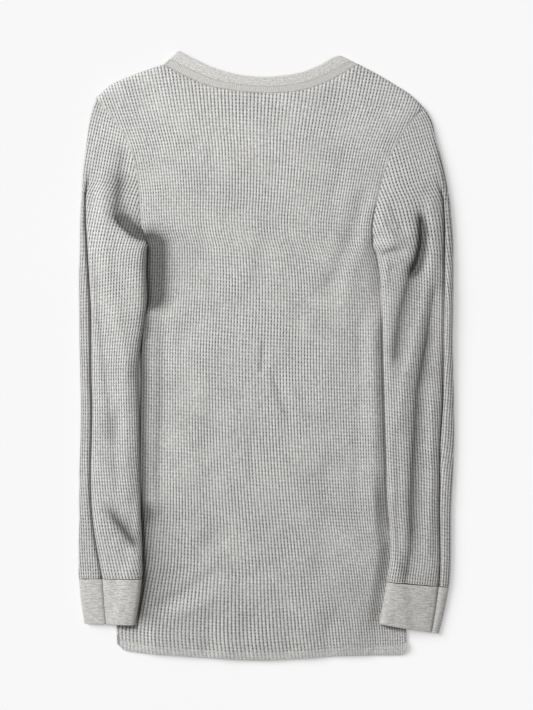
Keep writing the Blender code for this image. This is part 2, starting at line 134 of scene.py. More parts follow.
RIGHT_SLEEVE = table(
    Station, (180.8, 283.8, 122.5, 128, 8, 0.0), (189.0, 268, 127.4, 117, 6.0, 0.0),
    (194.8, 246, 130.0, 104, 6.0, 0.0), (200.8, 222, 131.9, 90, 6.0, 0.0),
    (206.5, 196, 133.0, 75, 6.5, 0.2), (211.0, 170, 133.7, 56, 9.0, 0.4),
    (213.4, 136, 134.1, 34, 10.6, 0.4), (214.0, 98, 134.4, 8, 12.0, 0.3),
    (213.6, 58, 135.0, -20, 12.8, 0.2), (213.1, 18, 135.9, -48, 13.4, 0.2),
    (213.9, -22, 136.7, -76, 14.0, 0.3), (214.8, -62, 137.6, -103, 14.8, 0.4),
    (214.8, -100, 138.5, -129, 17.2, 0.6), (213.6, -138, 139.8, -155, 16.4, 1.0),
    (211.9, -174, 141.6, -182, 15.2, 1.0), (211.7, -208, 143.9, -208, 14.4, 1.0),
    (211.4, -238, 143.4, -235, 13.8, 1.0), (209.5, -266.6, 139.3, -260, 13.2, 1.0),
)
RIGHT_CUFF = table(
    Station, (209.5, -266.6, 139.3, -260, 13.0, 1.0), (204.4, -293, 135.0, -285, 11.2, 1.0),
    (197.9, -319.7, 130.5, -308.3, 8.9, 1.0),
)

# --- The knit ---------------------------------------------------------------------------------
BODY_WALES = 86
SLEEVE_WALES = 60           # round a whole sleeve
RIB_HALF = 0.32             # a rib's flank starts this far from the middle of the pit, in wales
WAFFLE_HEIGHT = 0.88        # from the floor of a pit to the top of a rib
BAR_HEIGHT = 0.42           # of a bar between two pits, as a share of a rib's
RIB_DIP = 0.08              # how far a rib sinks beside each pit
HEM_RELIEF = 0.35           # of the relief along the hem's fold
FRONT_RELIEF = 0.7          # and on the front panel, which is pressed flat

Course = namedtuple("Course", "number y")
BODY_COURSES = table(       # where the courses lie at the left side, from the hem up
    Course, (0, -331), (20, -260), (60, -106), (100, 52), (140, 207), (160, 281), (180, 353),
)
EDGE_CROWDING = 0.1         # wales look closer together at the sides, where the cloth turns down
COURSE_ARCH = 12.0          # rise of the courses in the middle of the shoulders
COURSE_SKEW = -13.0         # fall of the courses from left to right
COURSE_PITCH = 3.9          # of the courses along a sleeve and in the hem

# --- Heights ----------------------------------------------------------------------------------
Height = namedtuple("Height", "y level")
BODY_CROWN = table(         # top of the back panel away from its edges
    Height, (-350, 4.8), (-325, 6.2), (-260, 8.6), (-180, 10.0), (-60, 11.0), (100, 11.2),
    (240, 9.2), (300, 6.4), (345, 4.6),
)
SIDE_LEVEL = 3.2            # where the back meets the front at the sides
TOP_LEVEL = 2.4             # and along the shoulders
NECK_RISE = 1.2             # how much higher it is at the neckband
ARMHOLE_RISE = 6.2          # how far an armhole seam stands over its ends
SIDE_ROLL = 12.0            # width over which the back turns down at its sides
TOP_ROLL = 7.0
FRONT_LEVEL = 0.9
FRONT_ROLL = 4.0            # and over which the front turns up at its edges
FLOOR_GAP = 0.05            # the least height of any sleeve or cuff
PRESSED = 2.3               # height of the body where a sleeve or cuff lies on it
Press = namedtuple("Press", "clear width")      # how it rises beside the sleeve's edge
LEFT_PRESS, RIGHT_PRESS = Press(4, 20), Press(3, 16)
Wave = namedtuple("Wave", "size depth seed")
BODY_WAVES = (Wave(62, 0.28, 3), Wave(30, 0.10, 5))
SLEEVE_WAVE, FRONT_WAVE = Wave(34, 0.22, 7), Wave(70, 0.5, 11)
LIFT = 2.6                  # rise of a sleeve where it lies on the body
LIFT_TOP, LIFT_FULL = -130.0, -185.0    # where along Y it starts and is complete
LIFT_OUTSIDE, LIFT_WIDTH = 10, 13       # it starts this far outside the body, and takes this width


def mix(a, b, share):
    return a + (b - a) * share


def smoothstep(value):
    value = np.clip(value, 0.0, 1.0)
    return value * value * (3 - 2 * value)


def smooth_curve(pairs):
    """A function that passes smoothly through (key, value) pairs, level beyond its ends."""
    keys, values = (np.array(column, float) for column in zip(*sorted(pairs)))
    slopes = np.empty_like(values)
    slopes[1:-1] = (values[2:] - values[:-2]) / (keys[2:] - keys[:-2])
    slopes[0] = (values[1] - values[0]) / (keys[1] - keys[0])
    slopes[-1] = (values[-1] - values[-2]) / (keys[-1] - keys[-2])

    def at(where):
        where = np.clip(where, keys[0], keys[-1])
        i = np.clip(np.searchsorted(keys, where, side="right") - 1, 0, len(keys) - 2)
        span = keys[i + 1] - keys[i]
        t = (where - keys[i]) / span
        rise = values[i] * (1 + 2 * t) * (1 - t) ** 2 + values[i + 1] * t * t * (3 - 2 * t)
        return rise + span * (slopes[i] * t * (1 - t) ** 2 - slopes[i + 1] * t * t * (1 - t))

    return at


LEFT_SIDE = [(row.y, row.left) for row in SIDES]
RIGHT_SIDE = [(row.y, row.right) for row in SIDES]
LEFT_HOLE = [(row.left_y, row.left_x) for row in ARMHOLES]
RIGHT_HOLE = [(row.right_y, row.right_x) for row in ARMHOLES]
left_armhole_x = smooth_curve(LEFT_HOLE)
right_armhole_x = smooth_curve(RIGHT_HOLE)
# Beyond a shoulder tip the sides run on, so that the courses above it have somewhere to start.
left_edge = smooth_curve(LEFT_SIDE + LEFT_HOLE[1:] + [(320, -206), (355, -214)])
right_edge = smooth_curve(RIGHT_SIDE + RIGHT_HOLE[1:] + [(310, 192), (345, 200)])
# The first and last wale of the body follow the sides, then bend in less than the armholes.
left_wale_x = smooth_curve(LEFT_SIDE + LEFT_HOLE[1:4] + [(232, -153), (264, -164), (296, -175),
                                                         (353, -192)])
right_wale_x = smooth_curve(RIGHT_SIDE + RIGHT_HOLE[1:4] + [(232, 140), (260, 151), (284, 161),
                                                            (345, 180)])
hem_y = smooth_curve(HEM)
left_shoulder_y = smooth_curve(LEFT_SHOULDER)
right_shoulder_y = smooth_curve(RIGHT_SHOULDER)
back_neck_y = smooth_curve(BACK_NECK)
back_hole_y = smooth_curve(BACK_HOLE)
# Low down, between body and sleeve, the body's side bulges beyond its outline.
left_reach = smooth_curve(((-235, 0.0), (-190, 3.5), (-60, 4.5), (40, 4.0), (100, 1.5), (128, 0.0)))
right_reach = smooth_curve(((-260, 0.0), (-200, 2.5), (-60, 3.0), (60, 3.0), (110, 2.0), (128, 0.0)))
body_course_y = smooth_curve(BODY_COURSES)
# Towards the hem the middle wales run off to the right.
wale_drift = smooth_curve(((-331, 24), (-270, 17), (-200, 10), (-80, 2), (0, 0), (353, 0)))
body_crown = smooth_curve(BODY_CROWN)
NECK_LEFT, NECK_RIGHT = BACK_NECK[0], BACK_NECK[-1]
HOLE_LEFT, HOLE_RIGHT = BACK_HOLE[0], BACK_HOLE[-1]
# The inner edges of the sleeves and cuffs where these lie on the body.
left_inner_low, right_inner_low = (
    smooth_curve([(row.inner_y, row.inner_x) for row in sleeve[-6:] + cuff[1:]])
    for sleeve, cuff in ((LEFT_SLEEVE, LEFT_CUFF), (RIGHT_SLEEVE, RIGHT_CUFF)))


def scoop_y(x, left, right, drop):
    """A front neckline: a squared-off parabola that hangs between two points."""
    share = np.clip((x - left.x) / (right.x - left.x), 0.0, 1.0)
    return mix(left.y, right.y, share) - drop * (1 - np.abs(2 * share - 1) ** NECK_POWER)


def top_y(x, neck_y):
    """Upper edge of a panel: two shoulders and a neckline."""
    shoulders = np.where(x < NECK_LEFT.x, left_shoulder_y(x), right_shoulder_y(x))
    return np.where((x < NECK_LEFT.x) | (x > NECK_RIGHT.x), shoulders, neck_y(x))


def back_top_y(x):
    return top_y(x, back_neck_y)


def front_top_y(x):
    return top_y(x, lambda x: scoop_y(x, NECK_LEFT, NECK_RIGHT, FRONT_NECK_DROP))


# --- Creases ----------------------------------------------------------------------------------
Crease = namedtuple("Crease", "depth left right points")
# Depth is positive in a trough and negative on a ridge; left and right are its half widths.
BODY_CREASES = table(
    Crease,
    (9.0, 9, 24, ((-140, 152), (-134, 120), (-132, 80), (-135, 42))),
    (2.0, 5, 10, ((-122, 70), (-117, 10), (-119, -70), (-123, -130), (-122, -200))),
    (-1.4, 5, 6, ((-129, 30), (-129, -60), (-131, -190))),
    (2.6, 11, 8, ((121, 140), (126, 104), (129, 50))),
    (-2.2, 12, 6, ((121, 36), (124, -60), (123, -140), (122, -220))),
    (1.1, 5, 9, ((106, 50), (108, -30), (104, -110), (101, -190))),
    (2.6, 8, 13, ((116, 200), (101, 150), (86, 110), (66, 66))),
    (-1.6, 9, 10, ((122, 180), (110, 130), (94, 84), (86, 40))),
    (1.2, 8, 12, ((96, 250), (86, 206), (68, 164))),
    (2.3, 3, 5.5, ((-3, 22), (-4, 0), (-6, -28))),
    (3.0, 5, 10, ((3, -12), (14, -40), (30, -86))),
    (-1.5, 8, 8, ((20, -14), (30, -44), (42, -84))),
    (1.0, 4, 6, ((-15, -74), (-17, -110), (-16, -162))),
    (2.4, 8, 12, ((-136, -292), (-100, -276), (-76, -260), (-44, -243))),
    (-1.4, 9, 10, ((-124, -306), (-86, -290), (-50, -276))),
    (1.5, 9, 12, ((-88, -224), (-60, -212), (-30, -204))),
    (1.9, 7, 10, ((-64, -290), (-68, -320), (-67, -356))),
    (1.7, 7, 10, ((-19, -294), (-24, -322), (-24, -356))),
    (1.5, 7, 10, ((28, -296), (24, -324), (25, -356))),
    (1.8, 7, 10, ((75, -290), (70, -320), (71, -356))),
    (-1.0, 8, 9, ((-44, -296), (-46, -356))),
    (-1.0, 8, 9, ((50, -296), (47, -356))),
    (1.4, 6, 9, ((114, -280), (113, -356))),
    (1.0, 6, 9, ((-80, 308), (-54, 296), (-28, 286))),
    (1.2, 10, 14, ((-58, 250), (-71, 170), (-68, 96))),
    (1.0, 10, 15, ((12, 236), (4, 150), (-9, 66))),
    (1.3, 9, 15, ((72, -104), (66, -190), (61, -262))),
    (1.2, 9, 15, ((-58, -34), (-70, -110), (-66, -186))),
    (1.1, 9, 14, ((-99, 56), (-94, 0), (-99, -66))),
    (1.0, 9, 14, ((38, 64), (30, 10), (36, -40))),
)
LEFT_SLEEVE_CREASES = table(
    Crease,
    (4.0, 7, 11, ((-163, 250), (-168, 200), (-173, 152))),
    (9.0, 4, 14, ((-180, 166), (-167, 150), (-153, 138), (-128, 125))),
    (-2.2, 7, 9, ((-188, 226), (-186, 138), (-180, 86), (-166, 28), (-156, -34))),
    (2.6, 4, 8, ((-197, 120), (-193, 60), (-187, 0), (-179, -60), (-177, -110))),
    (-1.8, 8, 7, ((-160, 10), (-161, -90), (-160, -200))),
    (5.4, 7, 10, ((-186, -168), (-172, -190), (-157, -210), (-141, -230))),
    (-2.2, 7, 7, ((-178, -210), (-158, -238))),
    (2.2, 5, 8, ((-170, -50), (-174, -110), (-169, -165))),
    (2.0, 5, 8, ((-194, 262), (-199, 200), (-203, 140))),
)
RIGHT_SLEEVE_CREASES = table(
    Crease,
    (-3.8, 6, 4, ((126, 172), (136, 146), (148, 131), (163, 124))),
    (-2.4, 4, 4, ((139, 112), (134, 72))),
    (3.6, 5, 3, ((128, 108), (137, 117), (148, 121), (162, 117))),
    (3.0, 3, 5, ((139, 178), (150, 152), (162, 134))),
    (8.6, 5.5, 10, ((174, 172), (177, 155), (178, 140), (177, 125), (173, 108), (164, 84))),
    (4.4, 7, 11, ((170, 112), (163, 86), (152, 40), (146, -20))),
    (-2.0, 5, 9, ((188, 190), (190, 110), (180, 51), (167, 5), (157, -29), (150, -90))),
    (4.0, 5, 4, ((196, 262), (202, 200), (204, 150), (202, 84))),
    (4.8, 6, 11, ((194, 84), (184, 17), (173, -41), (169, -110), (166, -167), (166, -224), (158, -270))),
    (-1.8, 5, 6, ((190, -40), (189, -140), (184, -240))),
    (2.0, 5, 7, ((148, -80), (151, -160), (149, -240))),
)
# Painted shade: patches of the cloth's lay where little light gets in are darkened in its colour;
# depth here is how dark, from 0 to 1.
BODY_SHADE_POCKETS = table(
    Crease,
    (2.2, 6, 18, ((-143, 143), (-137, 122), (-138, 96), (-145, 50))),
    (0.9, 6, 8, ((-142, 90), (-143, 50), (-143, 10))),
    (1.25, 6, 9, ((-143, 90), (-143, -40), (-144, -200))),
    (1.0, 8, 20, ((-146, -165), (-141, -225), (-142, -272), (-150, -316))),
    (0.25, 12, 6, ((124, 140), (129, 104), (133, 60))),
    (1.1, 5, 4, ((134, 50), (135.5, -20), (137, -76), (139.5, -152), (143.5, -212))),
    (0.4, 12, 8, ((143, -200), (141, -260), (134, -318))),
)
LEFT_SLEEVE_SHADE_POCKETS = table(
    Crease,
    (0.22, 9, 9, ((-193, 310), (-203, 262), (-211, 190), (-214, 100), (-214, -50), (-215, -262))),
    (0.95, 3, 12, ((-176, 160), (-167, 151), (-153, 138), (-128, 127))),
    (0.5, 9, 11, ((-166, 215), (-170, 180), (-174, 150))),
    (0.42, 6, 10, ((-180, -176), (-159, -206), (-142, -229))),
)
RIGHT_SLEEVE_SHADE_POCKETS = table(
    Crease,
    (0.8, 4.5, 8, ((176, 160), (178, 142), (177, 126), (173, 108), (165, 88))),
    (0.36, 8, 10, ((170, 104), (160, 66), (150, 20), (145, -30))),
    (0.38, 5, 9, ((186, 40), (174, -41), (169, -130), (166, -224))),
    (0.4, 4, 4, ((200, 244), (204, 166), (203, 90))),
    (0.16, 3, 4, ((130, 108), (138, 116), (148, 119), (160, 114))),
)
CREASE_FADE = 22.0          # length over which a crease dies out at its ends
CREASE_FADE_SHARE = 0.35    # and the most it takes of a short crease
CREASE_LEAN = 0.4           # how far the line between a crease's two sides leans to the upper left
FOLD_SHADE_START = 0.8            # depth at which a crease starts to get painted shade
FOLD_SHADE_FULL = 8.0             # further depth at which its painted shade is as dark as it gets
BODY_FOLD_SHADE = 0.5             # of that painted shade on the body, whose creases are wider
SOFT, SHARP = 1.8, 1.3      # 2 is a round bottom, 1 is an edge


def crease_depth(x, y, creases, power):
    """Total depth of the creases at every point."""
    total = np.zeros(np.broadcast(x, y).shape)
    for crease in creases:
        points = np.array(crease.points, float)
        runs = points[1:] - points[:-1]
        lengths = np.hypot(runs[:, 0], runs[:, 1])
        starts = np.concatenate(([0.0], np.cumsum(lengths)))
        best = np.full(total.shape, np.inf)
        side = np.zeros(total.shape)
        place = np.zeros(total.shape)
        for point, run, length, start in zip(points, runs, lengths, starts):
            along = np.clip(((x - point[0]) * run[0] + (y - point[1]) * run[1]) / length ** 2, 0, 1)
            off_x, off_y = x - point[0] - along * run[0], y - point[1] - along * run[1]
            distance = np.hypot(off_x, off_y)
            nearer = distance < best
            best = np.where(nearer, distance, best)
            side = np.where(nearer, off_x + CREASE_LEAN * off_y, side)
            place = np.where(nearer, start + along * length, place)
        width = np.where(side < 0, crease.left, crease.right)
        fade_length = min(CREASE_FADE, CREASE_FADE_SHARE * starts[-1])
        fade = smoothstep((np.minimum(place, starts[-1] - place) + 1) / fade_length)
        profile = power if crease.depth > 0 else SOFT
        total += crease.depth * fade * np.exp(-(best / width) ** profile)
    return total


WAVE_COUNT = 7


def soft_waves(x, y, size, depth, seed):
    """Gentle unevenness: a few crossed sine waves of about one size."""
    random = np.random.default_rng(seed)
    total = np.zeros(np.broadcast(x, y).shape)
    for _ in range(WAVE_COUNT):
        angle, phase = random.uniform(0, math.pi), random.uniform(0, 2 * math.pi)
        pitch = size * random.uniform(0.7, 1.6)
        total += np.sin((x * math.cos(angle) + y * math.sin(angle)) * 2 * math.pi / pitch + phase)
    return total * depth / WAVE_COUNT ** 0.5


def lengths_along(path):
    """Distance from the first point of a path to each of its points."""
    return np.concatenate(([0.0], np.cumsum(np.linalg.norm(path[1:] - path[:-1], axis=1))))


# --- Mesh building ----------------------------------------------------------------------------
def waffle_relief(wales, courses):
    """Height of the knit's face over its pits."""
    rib = np.clip(np.abs(wales % 1 - 0.5) / RIB_HALF, 0, 1)
    bar = np.abs(courses % 1 - 0.5) * 2
    return WAFFLE_HEIGHT * (rib * (1 - RIB_DIP * (1 - bar)) + (1 - rib) * BAR_HEIGHT * bar)


def knit_columns(count):
    """Wale numbers of the grid's columns: both shoulders and the middle of every pit."""
    middles = np.arange(count) + 0.5
    return np.stack((middles - RIB_HALF, middles, middles + RIB_HALF), axis=1).ravel()


def grid_normals(grid, closed):
    if closed:
        across = np.roll(grid, -1, axis=1) - np.roll(grid, 1, axis=1)
    else:
        across = np.gradient(grid, axis=1)
    normals = np.cross(across, np.gradient(grid, axis=0))
    return normals / np.maximum(np.linalg.norm(normals, axis=2, keepdims=True), 1e-6)


def add_piece(name, points, faces, face_uvs, material):
    """A smooth mesh object in the scene, from metres and one chart place for each face corner."""
    mesh = bpy.data.meshes.new(name)
    mesh.from_pydata(points, [], faces)
    mesh.uv_layers.new(name="knit").data.foreach_set("uv", np.array(face_uvs, dtype=np.float32))
    mesh.shade_smooth()
    mesh.materials.append(material)
    piece = bpy.data.objects.new(name, mesh)
    bpy.context.scene.collection.objects.link(piece)
    return piece


def cloth_mesh(name, grid, uv, material, closed=False, flip=False, ids=None, sides=None, fold=None):
    """A mesh over a grid. Points with the same id are one point; faces that join the two sides of an
    opening (marked 1 and 2 in sides) are left out. fold is painted shade: how far each point's colour
    is darkened for lying deep in a fold, from 0 to 1."""
    rows, columns = grid.shape[:2]
    ids = np.arange(rows * columns).reshape(rows, columns) if ids is None else ids
    used, compact = np.unique(ids, return_inverse=True)
    compact = compact.reshape(rows, columns)
    points = grid.reshape(-1, 3)[used] * MM
    uv_used = uv.reshape(-1, 2)[used]
    sides_used = np.zeros(len(used), int) if sides is None else sides.reshape(-1)[used]
    following = np.roll(compact, -1, axis=1) if closed else compact[:, 1:]
    own = compact if closed else compact[:, :-1]
    quads = np.stack((own[:-1], following[:-1], following[1:], own[1:]), axis=-1)
    if flip:
        quads = quads[..., ::-1]
    wraps = np.zeros(quads.shape[:2], bool)
    if closed:
        wraps[:, -1] = True
    turn = uv[..., 0].max() + uv[..., 0].min()
    faces, face_uvs = [], []
    marks = sides_used.tolist()
    uv_list = uv_used.tolist()
    for quad, wrap in zip(quads.reshape(-1, 4).tolist(), wraps.ravel().tolist()):
        corners = [v for k, v in enumerate(quad) if v != quad[k - 1]]
        if len(corners) < 3 or len(set(corners)) < len(corners):
            continue
        found = {marks[v] for v in corners}
        if 1 in found and 2 in found:
            continue
        faces.append(corners)
        for v in corners:
            u, w = uv_list[v]
            face_uvs += (u + turn if wrap and u < turn / 2 else u, w)
    piece = add_piece(name, points.tolist(), faces, face_uvs, material)
    if fold is not None:
        # The painted shade is kept on the points as the attribute fold, which the waffle's material
        # reads.
        layer = piece.data.attributes.new("fold", "FLOAT", "POINT")
        layer.data.foreach_set("value", np.clip(fold.reshape(-1)[used], 0, 1).astype(np.float32))
    return piece


def turned_edge(first, outward, radius, depths, angles):
    """Rows that turn a cloth's lower edge in and run it back up inside, from the hidden end on."""
    rows = [first - outward * 2 * radius + np.array((0, depth, 0)) for depth in depths]
    for angle in angles:
        turn = math.radians(angle)
        rows.append(first - outward * radius * (1 - math.cos(turn))
                    - np.array((0, radius * math.sin(turn), 0)))
    return np.array(rows)


def seat(piece, slot, *nodes):
    """Every piece rides on the one body, and may stand for solids."""
    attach(piece, BODY)
    if nodes:
        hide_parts(*nodes)
    return piece


# --- Materials --------------------------------------------------------------------------------
class Nodes:
    """Shorthand for building one node tree."""

    def __init__(self, name):
        self.material = bpy.data.materials.new(name)
        self.material.use_nodes = True
        self.tree = self.material.node_tree
        self.shader = self.tree.nodes["Principled BSDF"]

    def add(self, kind, **settings):
        node = self.tree.nodes.new(kind)
        for key, value in settings.items():
            setattr(node, key, value)
        return node

    def chart(self):
        """The place in the knit's chart, and its two parts."""
        uv = self.add("ShaderNodeUVMap", uv_map="knit").outputs[0]
        split = self.add("ShaderNodeSeparateXYZ")
        self.put(split.inputs[0], uv)
        return uv, split.outputs[0], split.outputs[1]

    def put(self, socket, value):
        if isinstance(value, bpy.types.NodeSocket):
            self.tree.links.new(value, socket)
        else:
            socket.default_value = value

    def maths(self, operation, a, b=0.0):
        node = self.add("ShaderNodeMath", operation=operation)
        self.put(node.inputs[0], a)
        self.put(node.inputs[1], b)
        return node.outputs[0]

    def times(self, a, b):
        return self.maths("MULTIPLY", a, b)

    def ramp(self, value, low, high, to_low=0.0, to_high=1.0):
        node = self.add("ShaderNodeMapRange", interpolation_type="SMOOTHSTEP")
        for socket, item in zip(node.inputs, (value, low, high, to_low, to_high)):
            self.put(socket, item)
        return node.outputs[0]

    def blend(self, share, a, b, mode="MIX"):
        node = self.add("ShaderNodeMix", data_type="RGBA", blend_type=mode)
        self.put(node.inputs["Factor"], share)
        self.put(node.inputs[6], a)
        self.put(node.inputs[7], b)
        return node.outputs[2]

    def noise(self, vector, scale, detail=2.0, roughness=0.5):
        node = self.add("ShaderNodeTexNoise")
        self.put(node.inputs["Vector"], vector)
        node.inputs["Scale"].default_value = scale
        node.inputs["Detail"].default_value = detail
        node.inputs["Roughness"].default_value = roughness
        return node.outputs["Fac"]

    def stretched(self, vector, scales):
        node = self.add("ShaderNodeVectorMath", operation="MULTIPLY")
        self.put(node.inputs[0], vector)
        node.inputs[1].default_value = scales
        return node.outputs[0]

    def tint(self, colour, value, low, high):
        """Multiplies a colour by a grey from low to high as the value goes from 0.3 to 0.7."""
        grey = self.ramp(value, 0.3, 0.7, low, high)
        return self.blend(1.0, colour, grey, "MULTIPLY")

    def bump(self, height, strength, distance):
        node = self.add("ShaderNodeBump")
        node.inputs["Strength"].default_value = strength
        node.inputs["Distance"].default_value = distance
        self.put(node.inputs["Height"], height)
        self.put(self.shader.inputs["Normal"], node.outputs[0])

    def finish(self, colour, roughness, sheen):
        self.put(self.shader.inputs["Base Color"], colour)
        self.shader.inputs["Roughness"].default_value = roughness
        self.shader.inputs["Specular IOR Level"].default_value = 0.15
        self.shader.inputs["Sheen Weight"].default_value = sheen
        self.shader.inputs["Sheen Roughness"].default_value = 0.6
        return self.material


RIB_COLOUR = (0.60, 0.595, 0.58, 1)
# Bars and pits are darker partly in their yarn and partly as painted shade of the knit's recesses.
BAR_YARN_AND_SHADE_COLOUR = (0.38, 0.38, 0.372, 1)
PIT_YARN_AND_SHADE_COLOUR = (0.094, 0.096, 0.102, 1)
JERSEY_COLOUR = (0.56, 0.551, 0.532, 1)
THREAD_COLOUR = (0.56, 0.555, 0.535, 1)
WELT_COLOUR = (0.46, 0.456, 0.44, 1)
COVER_COLOUR = (0.62, 0.605, 0.57, 1)
TICK_COLOUR = (0.22, 0.216, 0.207, 1)
HEM_CONTRAST = 0.45         # of the pits in the doubled hem, as a share of those above it
FOLD_SHADE = 0.25           # painted shade: colour deep in a fold, as a share of the colour in the open
COVER_TOP = 6.8             # height of the coverstitched strip over the neck seam
TICK_PITCH = 2.35           # spacing of its cross threads


def waffle_material(name, hem_courses, depth):
    """Pale ribs, and darker grooves and slightly blue pits, charted by wale and course, with heathered
    yarn. The grooves and pits are darker partly in their yarn and partly as painted shade of these
    recesses. The hem's turned-up courses are doubled, so they show less of the pits. Where the
    attribute fold says a point lies deep in a fold, its colour is darkened as painted shade."""
    n = Nodes(name)
    uv, wale, course = n.chart()
    place = n.add("ShaderNodeTexCoord").outputs["Object"]
    across = n.times(n.maths("PINGPONG", wale, 0.5), 2.0)
    along = n.times(n.maths("PINGPONG", course, 0.5), 2.0)
    groove = n.ramp(across, 0.38, 0.82)
    uneven = n.ramp(n.noise(uv, 0.8, 2.0, 0.6), 0.3, 0.7, 0.55, 1.1)
    patches = n.ramp(n.noise(place, 34, 2.0, 0.6), 0.3, 0.7, 0.75, 1.15)
    above_hem = n.ramp(course, hem_courses - 0.15, hem_courses + 0.15, HEM_CONTRAST, 1.0)
    groove = n.times(n.times(groove, n.times(patches, depth)), above_hem)
    # groove and pit carry painted shade of the recesses, partly their yarn's own darker colour.
    pit = n.times(n.times(groove, n.ramp(along, 0.2, 0.68)), uneven)
    colour = n.blend(groove, RIB_COLOUR, BAR_YARN_AND_SHADE_COLOUR)
    colour = n.blend(pit, colour, PIT_YARN_AND_SHADE_COLOUR)
    colour = n.tint(colour, n.noise(place, 560, 3.0, 0.6), 0.78, 1.16)
    colour = n.tint(colour, n.noise(n.stretched(uv, (0.35, 1.3, 1.0)), 1.6, 2.0), 0.93, 1.06)
    colour = n.tint(colour, n.noise(place, 26, 2.0), 0.955, 1.04)
    # Painted shade: where the attribute fold is 1 the colour drops to FOLD_SHADE of itself.
    fold = n.add("ShaderNodeAttribute", attribute_name="fold").outputs["Fac"]
    colour = n.blend(fold, colour, n.blend(1.0, colour, (FOLD_SHADE,) * 3 + (1,), "MULTIPLY"))
    n.bump(n.noise(place, 2600, 2.0, 0.6), 0.35, 0.0003)
    return n.finish(colour, 0.95, 0.12)


def jersey_material(name, colour, streak):
    """Plain knit with the short sideways streaks of a heathered yarn. Its chart is in millimetres."""
    n = Nodes(name)
    uv = n.chart()[0]
    streaks = n.noise(n.stretched(uv, (0.13, 0.62, 1.0)), 1.0, 3.0, 0.65)
    fibres = n.noise(n.stretched(uv, (0.4, 0.8, 1.0)), 1.0, 3.0, 0.7)
    tone = n.tint(colour, streaks, 1 - streak, 1 + 0.6 * streak)
    tone = n.tint(tone, fibres, 0.76, 1.17)
    n.bump(fibres, 0.4, 0.0004)
    return n.finish(tone, 0.93, 0.1)


def neckband_material():
    """Heathered jersey with a coverstitch: close cross ticks over the seam, and a groove above."""
    n = Nodes("neckband_look")
    uv, around, across = n.chart()
    streaks = n.noise(n.stretched(uv, (0.2, 0.62, 1.0)), 1.0, 3.0, 0.65)
    fibres = n.noise(n.stretched(uv, (0.4, 0.7, 1.0)), 1.0, 3.0, 0.7)
    tone = n.tint(n.tint(JERSEY_COLOUR, streaks, 0.86, 1.09), fibres, 0.72, 1.2)
    covered = n.times(n.ramp(across, COVER_TOP, COVER_TOP - 0.8), n.ramp(across, 0.2, 1.0))
    tick = n.ramp(n.maths("PINGPONG", around, TICK_PITCH / 2), 0.25 * TICK_PITCH, 0.45 * TICK_PITCH)
    ticks = n.times(covered, tick)
    tone = n.blend(n.times(covered, 0.5), tone, COVER_COLOUR)
    tone = n.blend(n.times(ticks, 0.6), tone, TICK_COLOUR)
    away = n.maths("ABSOLUTE", n.maths("SUBTRACT", across, COVER_TOP + 0.5))
    groove = n.ramp(away, 0.9, 0.2)
    seam = n.ramp(across, 0.9, -0.2)
    lines = n.maths("MAXIMUM", n.times(groove, 0.45), n.times(seam, 0.75))
    tone = n.blend(lines, tone, TICK_COLOUR)
    n.bump(n.maths("SUBTRACT", fibres, ticks), 0.6, 0.0005)
    return n.finish(tone, 0.93, 0.1)


# The last number sets how dark the grooves and pits are: partly their yarn, partly painted shade.
WAFFLE = waffle_material("waffle_knit_look", -50.0, 1.16)
BODY_WAFFLE = waffle_material("body_waffle_look", 2.3, 1.0)
NECKBAND = neckband_material()
JERSEY = jersey_material("jersey_look", JERSEY_COLOUR, 0.24)
WELT = jersey_material("seam_look", WELT_COLOUR, 0.12)
THREAD = jersey_material("thread_look", THREAD_COLOUR, 0.05)


# --- The body ---------------------------------------------------------------------------------
def fold_shade_share(depth):
    """Painted shade: from 0 on open cloth to 1 deep in a fold, where little light gets in."""
    return smoothstep((depth - FOLD_SHADE_START) / FOLD_SHADE_FULL)


def body_plan(columns, rows, top):
    """Where the wales and courses cross, cut off at the top and at the sides. Wales beyond the first
    and last start on the armholes. Returns x, y, course, ids, the distance inside the nearer side,
    and what is a cut edge."""
    share = columns / BODY_WALES
    share = share - EDGE_CROWDING * np.sin(2 * np.pi * share) / (2 * np.pi)
    left_y = body_course_y(rows)[:, None]
    up = (left_y - SIDES[0].y) / (LEFT_TIP_Y - SIDES[0].y)
    skewed = smoothstep(up * 4)
    right_y = left_y + COURSE_SKEW * skewed
    left_x = left_wale_x(left_y) - left_reach(left_y)
    right_x = right_wale_x(right_y) + right_reach(right_y)
    low = hem_y(mix(HEM[0].x, HEM[-1].x, share)) - SIDES[0].y
    x = mix(left_x, right_x, share)
    x = x + wale_drift(left_y) * np.sin(np.pi * np.clip(share, 0, 1))
    fall = mix(share, smoothstep((share - 0.1) / 0.8), skewed)
    y = mix(left_y, right_y, fall) + low * np.clip(1 - up, 0, 1)
    y = y + COURSE_ARCH * np.sin(np.pi * np.clip(share, 0, 1)) * np.clip(up, 0, 1.2) ** 3
    course = np.repeat(rows[:, None], len(columns), axis=1).astype(float)
    ids = np.arange(x.size).reshape(x.shape)
    cut = np.zeros(x.shape, bool)
    over = y - top(x)
    for i in range(len(columns)):
        first = int(np.argmax(over[:, i] > 0))
        share_up = -over[first - 1, i] / (over[first, i] - over[first - 1, i])
        for values in (x, y, course):
            values[first:, i] = mix(values[first - 1, i], values[first, i], share_up)
        ids[first:, i] = ids[first, i]
        cut[first:, i] = True
    for j in range(len(rows)):
        left, right = left_edge(y[j]) - left_reach(y[j]), right_edge(y[j]) + right_reach(y[j])
        for edge, facing in ((left, 1), (right, -1)):
            outside = np.nonzero((x[j] - edge) * facing < 0)[0]
            if not len(outside):
                continue
            keep = outside[-1] if facing > 0 else outside[0]
            x[j, outside], y[j, outside], ids[j, outside] = edge[keep], y[j, keep], ids[j, keep]
            cut[j, outside] = True
    inside = np.minimum(x - left_edge(y) + left_reach(y), right_edge(y) + right_reach(y) - x)
    return x, y, course, ids, inside, cut


